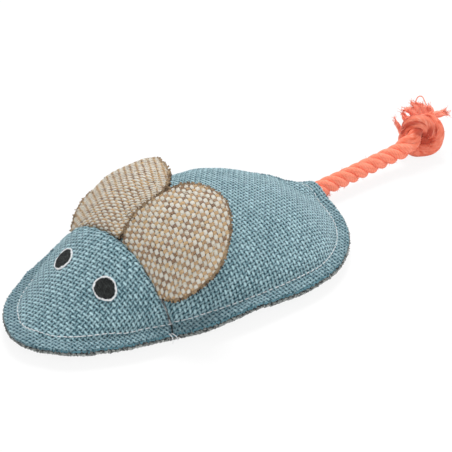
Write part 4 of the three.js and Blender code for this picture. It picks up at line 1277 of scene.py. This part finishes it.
def edgeRow(name, surface, up, stand):
    # the row strays inwards at the far side, the middle and the near side of the nose, and at the tail
    line, ahead, out = ringPlaces(body["margin"], sewing["edgePitch"])
    far, middle, near, tail = sewing["inset"]
    x, y = line.T
    atNose = far + (middle - far) * smoothStep(x, -12, 6) + (near - middle) * smoothStep(x, 12, 36)
    inset = atNose * smoothStep(-y, 15, 55) + tail * smoothStep(y, 30, 60)
    line = line - out * (inset - waves(x, y, sewing["waver"]))[:, None]
    spots, normal = onCloth(line[:, 0], line[:, 1], surface, up)
    aims = np.column_stack([ahead, np.zeros(len(line))])
    aims = aims - normal * np.sum(aims * normal, 1, keepdims=True)
    rng = np.random.default_rng(sewing["lengthSeed"])
    reach = sewing["edgeLength"] * rng.uniform(*sewing["lengthShare"], len(line))
    return threads(name, spots + normal * stand, aims, normal, reach, sewing["edge"], materials["white"])


topRow = edgeRow("edge_stitches_top", upperCloth, 1.0, cloth["relief"] + sewing["topStand"])
lowRow = edgeRow("edge_stitches_bottom", lowerCloth, -1.0, cloth["greyRelief"])


def neckSeam():
    half = float(np.interp(body["neck"], *sewnWidth))
    x = np.arange(-half, half, sewing["neckPitch"])
    spots, normal = onCloth(x, np.full_like(x, body["neck"]), upperCloth)
    aims, reach = list(np.gradient(spots, axis=0)), [sewing["neckLength"]] * len(x)
    spots, normal = list(spots + normal * 0.1), list(normal)
    # two loose ends hang over the near edge
    rim = float(np.interp(body["neck"], *rawWidth))
    for path in sewing["loose"]:
        line = smoothLine(np.array(path) + (rim, *sewing["looseFrom"]), 0.8)
        for a, b in zip(line[:-1], line[1:]):
            spots.append((a + b) / 2)
            aims.append(b - a)
            normal.append(np.array([1.0, 0, 0.4]))
            reach.append(1.05)
    return threads("neck_seam_stitches", np.array(spots), np.array(aims), np.array(normal), reach,
                   sewing["neck"], materials["white"])


neckRow = neckSeam()


def fringe(name, surface, up, settings, mat):
    # short yarn ends that stick out of a raw edge
    stand, inset, seed = settings
    rng = np.random.default_rng(seed)
    line, ahead, out = ringPlaces(-inset, sewing["fringeStep"])
    keep = rng.uniform(0, 1, len(line)) < sewing["fringeShare"]
    line, ahead, out = line[keep], ahead[keep], out[keep]
    n = len(line)
    spots, normal = onCloth(line[:, 0], line[:, 1], surface, up)
    reach = rng.uniform(*sewing["fringeReach"], n)
    aims = np.column_stack([out + ahead * rng.normal(0, 0.45, (n, 1)), rng.normal(-0.1 * up, 0.2, n)])
    spots = spots + normal * stand + unit(aims) * (reach * 0.5 - 0.75)[:, None]
    spots[:, 2] += rng.uniform(-0.3, 0.3, n)
    return threads(name, spots, aims, normal + rng.normal(0, 0.5, (n, 3)), reach, sewing["fringe"], mat)


blueFringe = fringe("blue_edge_yarns", upperCloth, 1.0, sewing["blueFringe"], materials["blueThread"])
greyFringe = fringe("grey_edge_yarns", lowerCloth, -1.0, sewing["greyFringe"], materials["greyThread"])


def eyePair(name, out, back, share):
    # rows of satin stitches and a ring of white ones, on the cloth's own face
    centre, normal = onCloth(np.array(out), np.array(back), upperCloth)
    sideways = unit(np.cross([0, 1, 0], normal))
    down = np.cross(normal, sideways) * share[1]
    sideways = sideways * share[0]
    rng = np.random.default_rng(eyes["seed"])
    pieces = []

    def lay(a, b):
        flat = centre + a[..., None] * sideways + b[..., None] * down
        return onCloth(flat[..., 0], flat[..., 1], upperCloth)

    spots, ups, aims, reach = [], [], [], []
    rows = np.arange(-eyes["radius"] + 0.15, eyes["radius"], eyes["rowStep"])
    for i, a in enumerate(rows):
        half = math.sqrt(max(eyes["radius"] ** 2 - a * a, 0.05)) + rng.uniform(*eyes["rowEnds"])
        count = max(1, int(round(half * 2 / eyes["stitchLength"])))
        marks = np.linspace(-half, half, count + 1)
        if count > 1:
            marks[1:-1] += (0.5 if i % 2 else -0.5) + rng.uniform(-0.2, 0.2, count - 1)
        for lo, hi in zip(marks[:-1], marks[1:]):
            two, up = lay(np.array([a, a]), np.array([lo, hi]))
            spots.append(two.mean(0) + up[0] * (cloth["relief"] + eyes["stand"]))
            ups.append(up[0])
            aims.append(two[1] - two[0])
            reach.append(np.linalg.norm(two[1] - two[0]) + eyes["overlap"])
    pieces.append(threads(name + "_black_stitches", spots, aims, ups, reach, eyes["stitch"],
                          materials["black"]))
    spots, ups, aims, reach = [], [], [], []
    extra, at, wide = eyes["thickSide"]
    for k, r in enumerate(eyes["ringRadii"]):
        turns = np.linspace(0, 2 * math.pi, eyes["ringCount"] + 1) + r
        far = r + rng.uniform(*eyes["ringWander"], len(turns))
        if k:
            far = far + extra * np.exp(-((turns % 6.283 - at) / wide) ** 2)
        far[-1] = far[0]
        places, up = lay(np.cos(turns) * far, np.sin(turns) * far)
        for i in range(eyes["ringCount"]):
            middle = (places[i] + places[i + 1]) / 2 + up[i] * (cloth["relief"] + eyes["ringStand"])
            spots.append(middle + rng.normal(0, eyes["ringFuzz"], 3))
            ups.append(up[i])
            aims.append(places[i + 1] - places[i])
            reach.append(np.linalg.norm(aims[-1]) + eyes["ringOverlap"])
    pieces.append(threads(name + "_ring_stitches", spots, aims, ups, reach, eyes["ring"], materials["white"]))
    return pieces


eyePieces = {"left": eyePair("eye_left", eyes["out"], eyes["back"], eyes["nearShare"]),
             "right": eyePair("eye_right", -eyes["farOut"], eyes["farBack"], eyes["farShare"])}


def earThreads(side):
    # a row of stitches on both faces and the yarn ends round the rim
    e, point = ears[side], earPieces[side, "front"][1]
    rim = smoothLine(np.array(e["outline"]) * (ears["width"] * e["size"], ears["height"] * e["size"]),
                     ears["rimStep"])
    ahead = unit(np.gradient(rim, axis=0))
    inward = np.stack([ahead[:, 1], -ahead[:, 0]], 1)
    row = smoothLine((rim + inward * ears["stitchInset"])[12:-12:6], ears["stitchStep"])
    level = point(row[:, 0], row[:, 1], 0.0)
    way = point(row[:, 0], row[:, 1], 1.0) - level
    lifts = ((ears["frontLift"] + 0.5, 1), (ears["backLift"] - 0.3, -1))
    spots = np.concatenate([level + way * lift for lift, _ in lifts])
    aims = np.concatenate([np.gradient(level, axis=0)] * 2)
    ups = np.concatenate([way * sign for _, sign in lifts])
    pieces = [threads("ear_%s_stitches" % side, spots, aims, ups, np.full(len(spots), ears["stitchLength"]),
                      sewing["ear"], materials["creamThread"])]
    for layer, lift, mat, seed in (("front", ears["frontLift"] + 0.05, "tanThread", 31),
                                   ("back", ears["backLift"] - 0.05, "darkThread", 32)):
        rng = np.random.default_rng(seed)
        n = len(rim)
        at = point(rim[:, 0], rim[:, 1], lift)
        further = point(rim[:, 0] - inward[:, 0], rim[:, 1] - inward[:, 1], lift)
        long = rng.uniform(*ears["rimReach"], n)
        go = (unit(further - at) + unit(np.gradient(at, axis=0)) * rng.normal(0, 0.6, (n, 1))
              + way.mean(0) * rng.normal(0, 0.25, (n, 1)))
        spots = at + unit(go) * (long * 0.5 - 0.6)[:, None]
        pieces.append(threads("ear_%s_%s_edge_yarns" % (side, layer), spots, go, rng.normal(0, 1, (n, 3)),
                              long, dict(sewing["fringe"], seed=seed), materials[mat]))
    return pieces


earExtras = {side: earThreads(side) for side in ("left", "right")}
print("stitches and yarn ends laid")

# floor, backdrop and lights
studio = {
    "paper": (0.93, 0.93, 0.93, 1), "glow": 0.88, "reach": 3000, "level": -0.05, "world": 0.62,
    "aim": (0, 0.03, 0.01), "keyLight": {"place": (-0.4, 0.35, 1.0), "size": 0.45, "power": 10},
    "fillLight": {"place": (0.9, -0.3, 0.8), "size": 0.9, "power": 3},
}


def seenDirectly(tree):
    rays = addNode(tree, "ShaderNodeLightPath").outputs
    return Value(tree, rays["Is Camera Ray"]).most(Value(tree, rays["Is Glossy Ray"])).most(
        Value(tree, rays["Is Transmission Ray"]))


def layFloor(c):
    mat, tree, shader = startMaterial("paperSweep")
    shader.inputs["Base Color"].default_value = c["paper"]
    glow = addNode(tree, "ShaderNodeEmission", {}, {"Color": (1, 1, 1, 1), "Strength": 1.0})
    blend = addNode(tree, "ShaderNodeMixShader", {}, {"Fac": seenDirectly(tree) * c["glow"]})
    feed(tree, shader.outputs[0], blend.inputs[1])
    feed(tree, glow.outputs[0], blend.inputs[2])
    feed(tree, blend.outputs[0], tree.nodes["Material Output"].inputs["Surface"])
    far, z = c["reach"], c["level"]
    corners = [(-far, -far, z), (far, -far, z), (far, far, z), (-far, far, z)]
    floor = meshFrom("studio_floor", corners, [(0, 1, 2, 3)], mat=mat, smooth=False)


def hangBackdrop(c):
    scene = bpy.context.scene
    scene.view_settings.view_transform = "Standard"
    scene.world = bpy.data.worlds.new("studio")
    scene.world.use_nodes = True
    tree = scene.world.node_tree
    background = tree.nodes["Background"]
    background.inputs["Color"].default_value = (1, 1, 1, 1)
    feed(tree, seenDirectly(tree) * (1 - c["world"]) + c["world"], background.inputs["Strength"])


def areaLight(name, c, aim):
    data = bpy.data.lights.new(name, "AREA")
    data.shape, data.size, data.energy = "DISK", c["size"], c["power"]
    lamp = bpy.data.objects.new(name, data)
    lamp.location = c["place"]
    lamp.rotation_mode = "QUATERNION"
    lamp.rotation_quaternion = (Vector(aim) - Vector(c["place"])).to_track_quat("-Z", "Y")
    bpy.context.collection.objects.link(lamp)


layFloor(studio)
hangBackdrop(studio)
for name in ("keyLight", "fillLight"):
    areaLight(name, studio[name], studio["aim"])

# what each piece rides on and stands for
for obj, slot, nodes in (
    (headShell, "blue_canvas", ["head_panel"]),
    (backShell, "blue_canvas", ["back_panel"]),
    (baseShell, "grey_cloth", ["base_panel"]),
):
    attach(obj, "mouse")
    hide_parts(*nodes)
for obj, slot, nodes in (
    (topRow, "white_thread", ["edge_stitching_top"]),
    (lowRow, "white_thread", ["edge_stitching_bottom"]),
    (neckRow, "white_thread", ["neck_seam_stitching"]),
    (eyePieces["left"][0], "black_thread", ["eye_left_black"]),
    (eyePieces["left"][1], "white_thread", ["eye_left_white"]),
    (eyePieces["right"][0], "black_thread", ["eye_right_black"]),
    (eyePieces["right"][1], "white_thread", ["eye_right_white"]),
    (blueFringe, "blue_canvas", []),
    (greyFringe, "grey_cloth", []),
):
    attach(obj, "mouse")
    if nodes:
        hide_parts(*nodes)


def blendEar(obj, side, point):
    a = point(np.array(0.0), np.array(1.2), 0.0) * mm
    b = point(np.array(0.0), np.array(5.2), 0.0) * mm
    "ear_" + side
    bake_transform(obj)


for (side, layer), (obj, point) in earPieces.items():
    blendEar(obj, side, point)
    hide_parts("ear_%s_%s" % (side, layer), "ear_%s_root_%s" % (side, layer))
    "ear_cloth" if layer == "front" else "ear_backing"
for side, pieces in earExtras.items():
    for obj, slot in zip(pieces, ("white_thread", "ear_cloth", "ear_backing")):
        blendEar(obj, side, earPieces[side, "front"][1])
    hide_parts("ear_%s_stitching" % side)
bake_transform(ropeRoot)
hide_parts("tail_sewn_end", "tail_base")
for obj, nodes in ((tailRope, ["tail_rope"]), (knotPiece, ["tail_knot"]), (frayPiece, ["tail_fray"]),
                   (fuzz, [])):
    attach(obj, "tail")
    if nodes:
        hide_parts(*nodes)
float(tailS[-1] - tailS[0]) * mm
(tailLine * mm).tolist()
for node, mat in (("fibre_filling", "fibre"), ("catnip_filling", "catnip")):
    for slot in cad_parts[node].material_slots:
        slot.material = materials[mat]

print("all pieces ride")
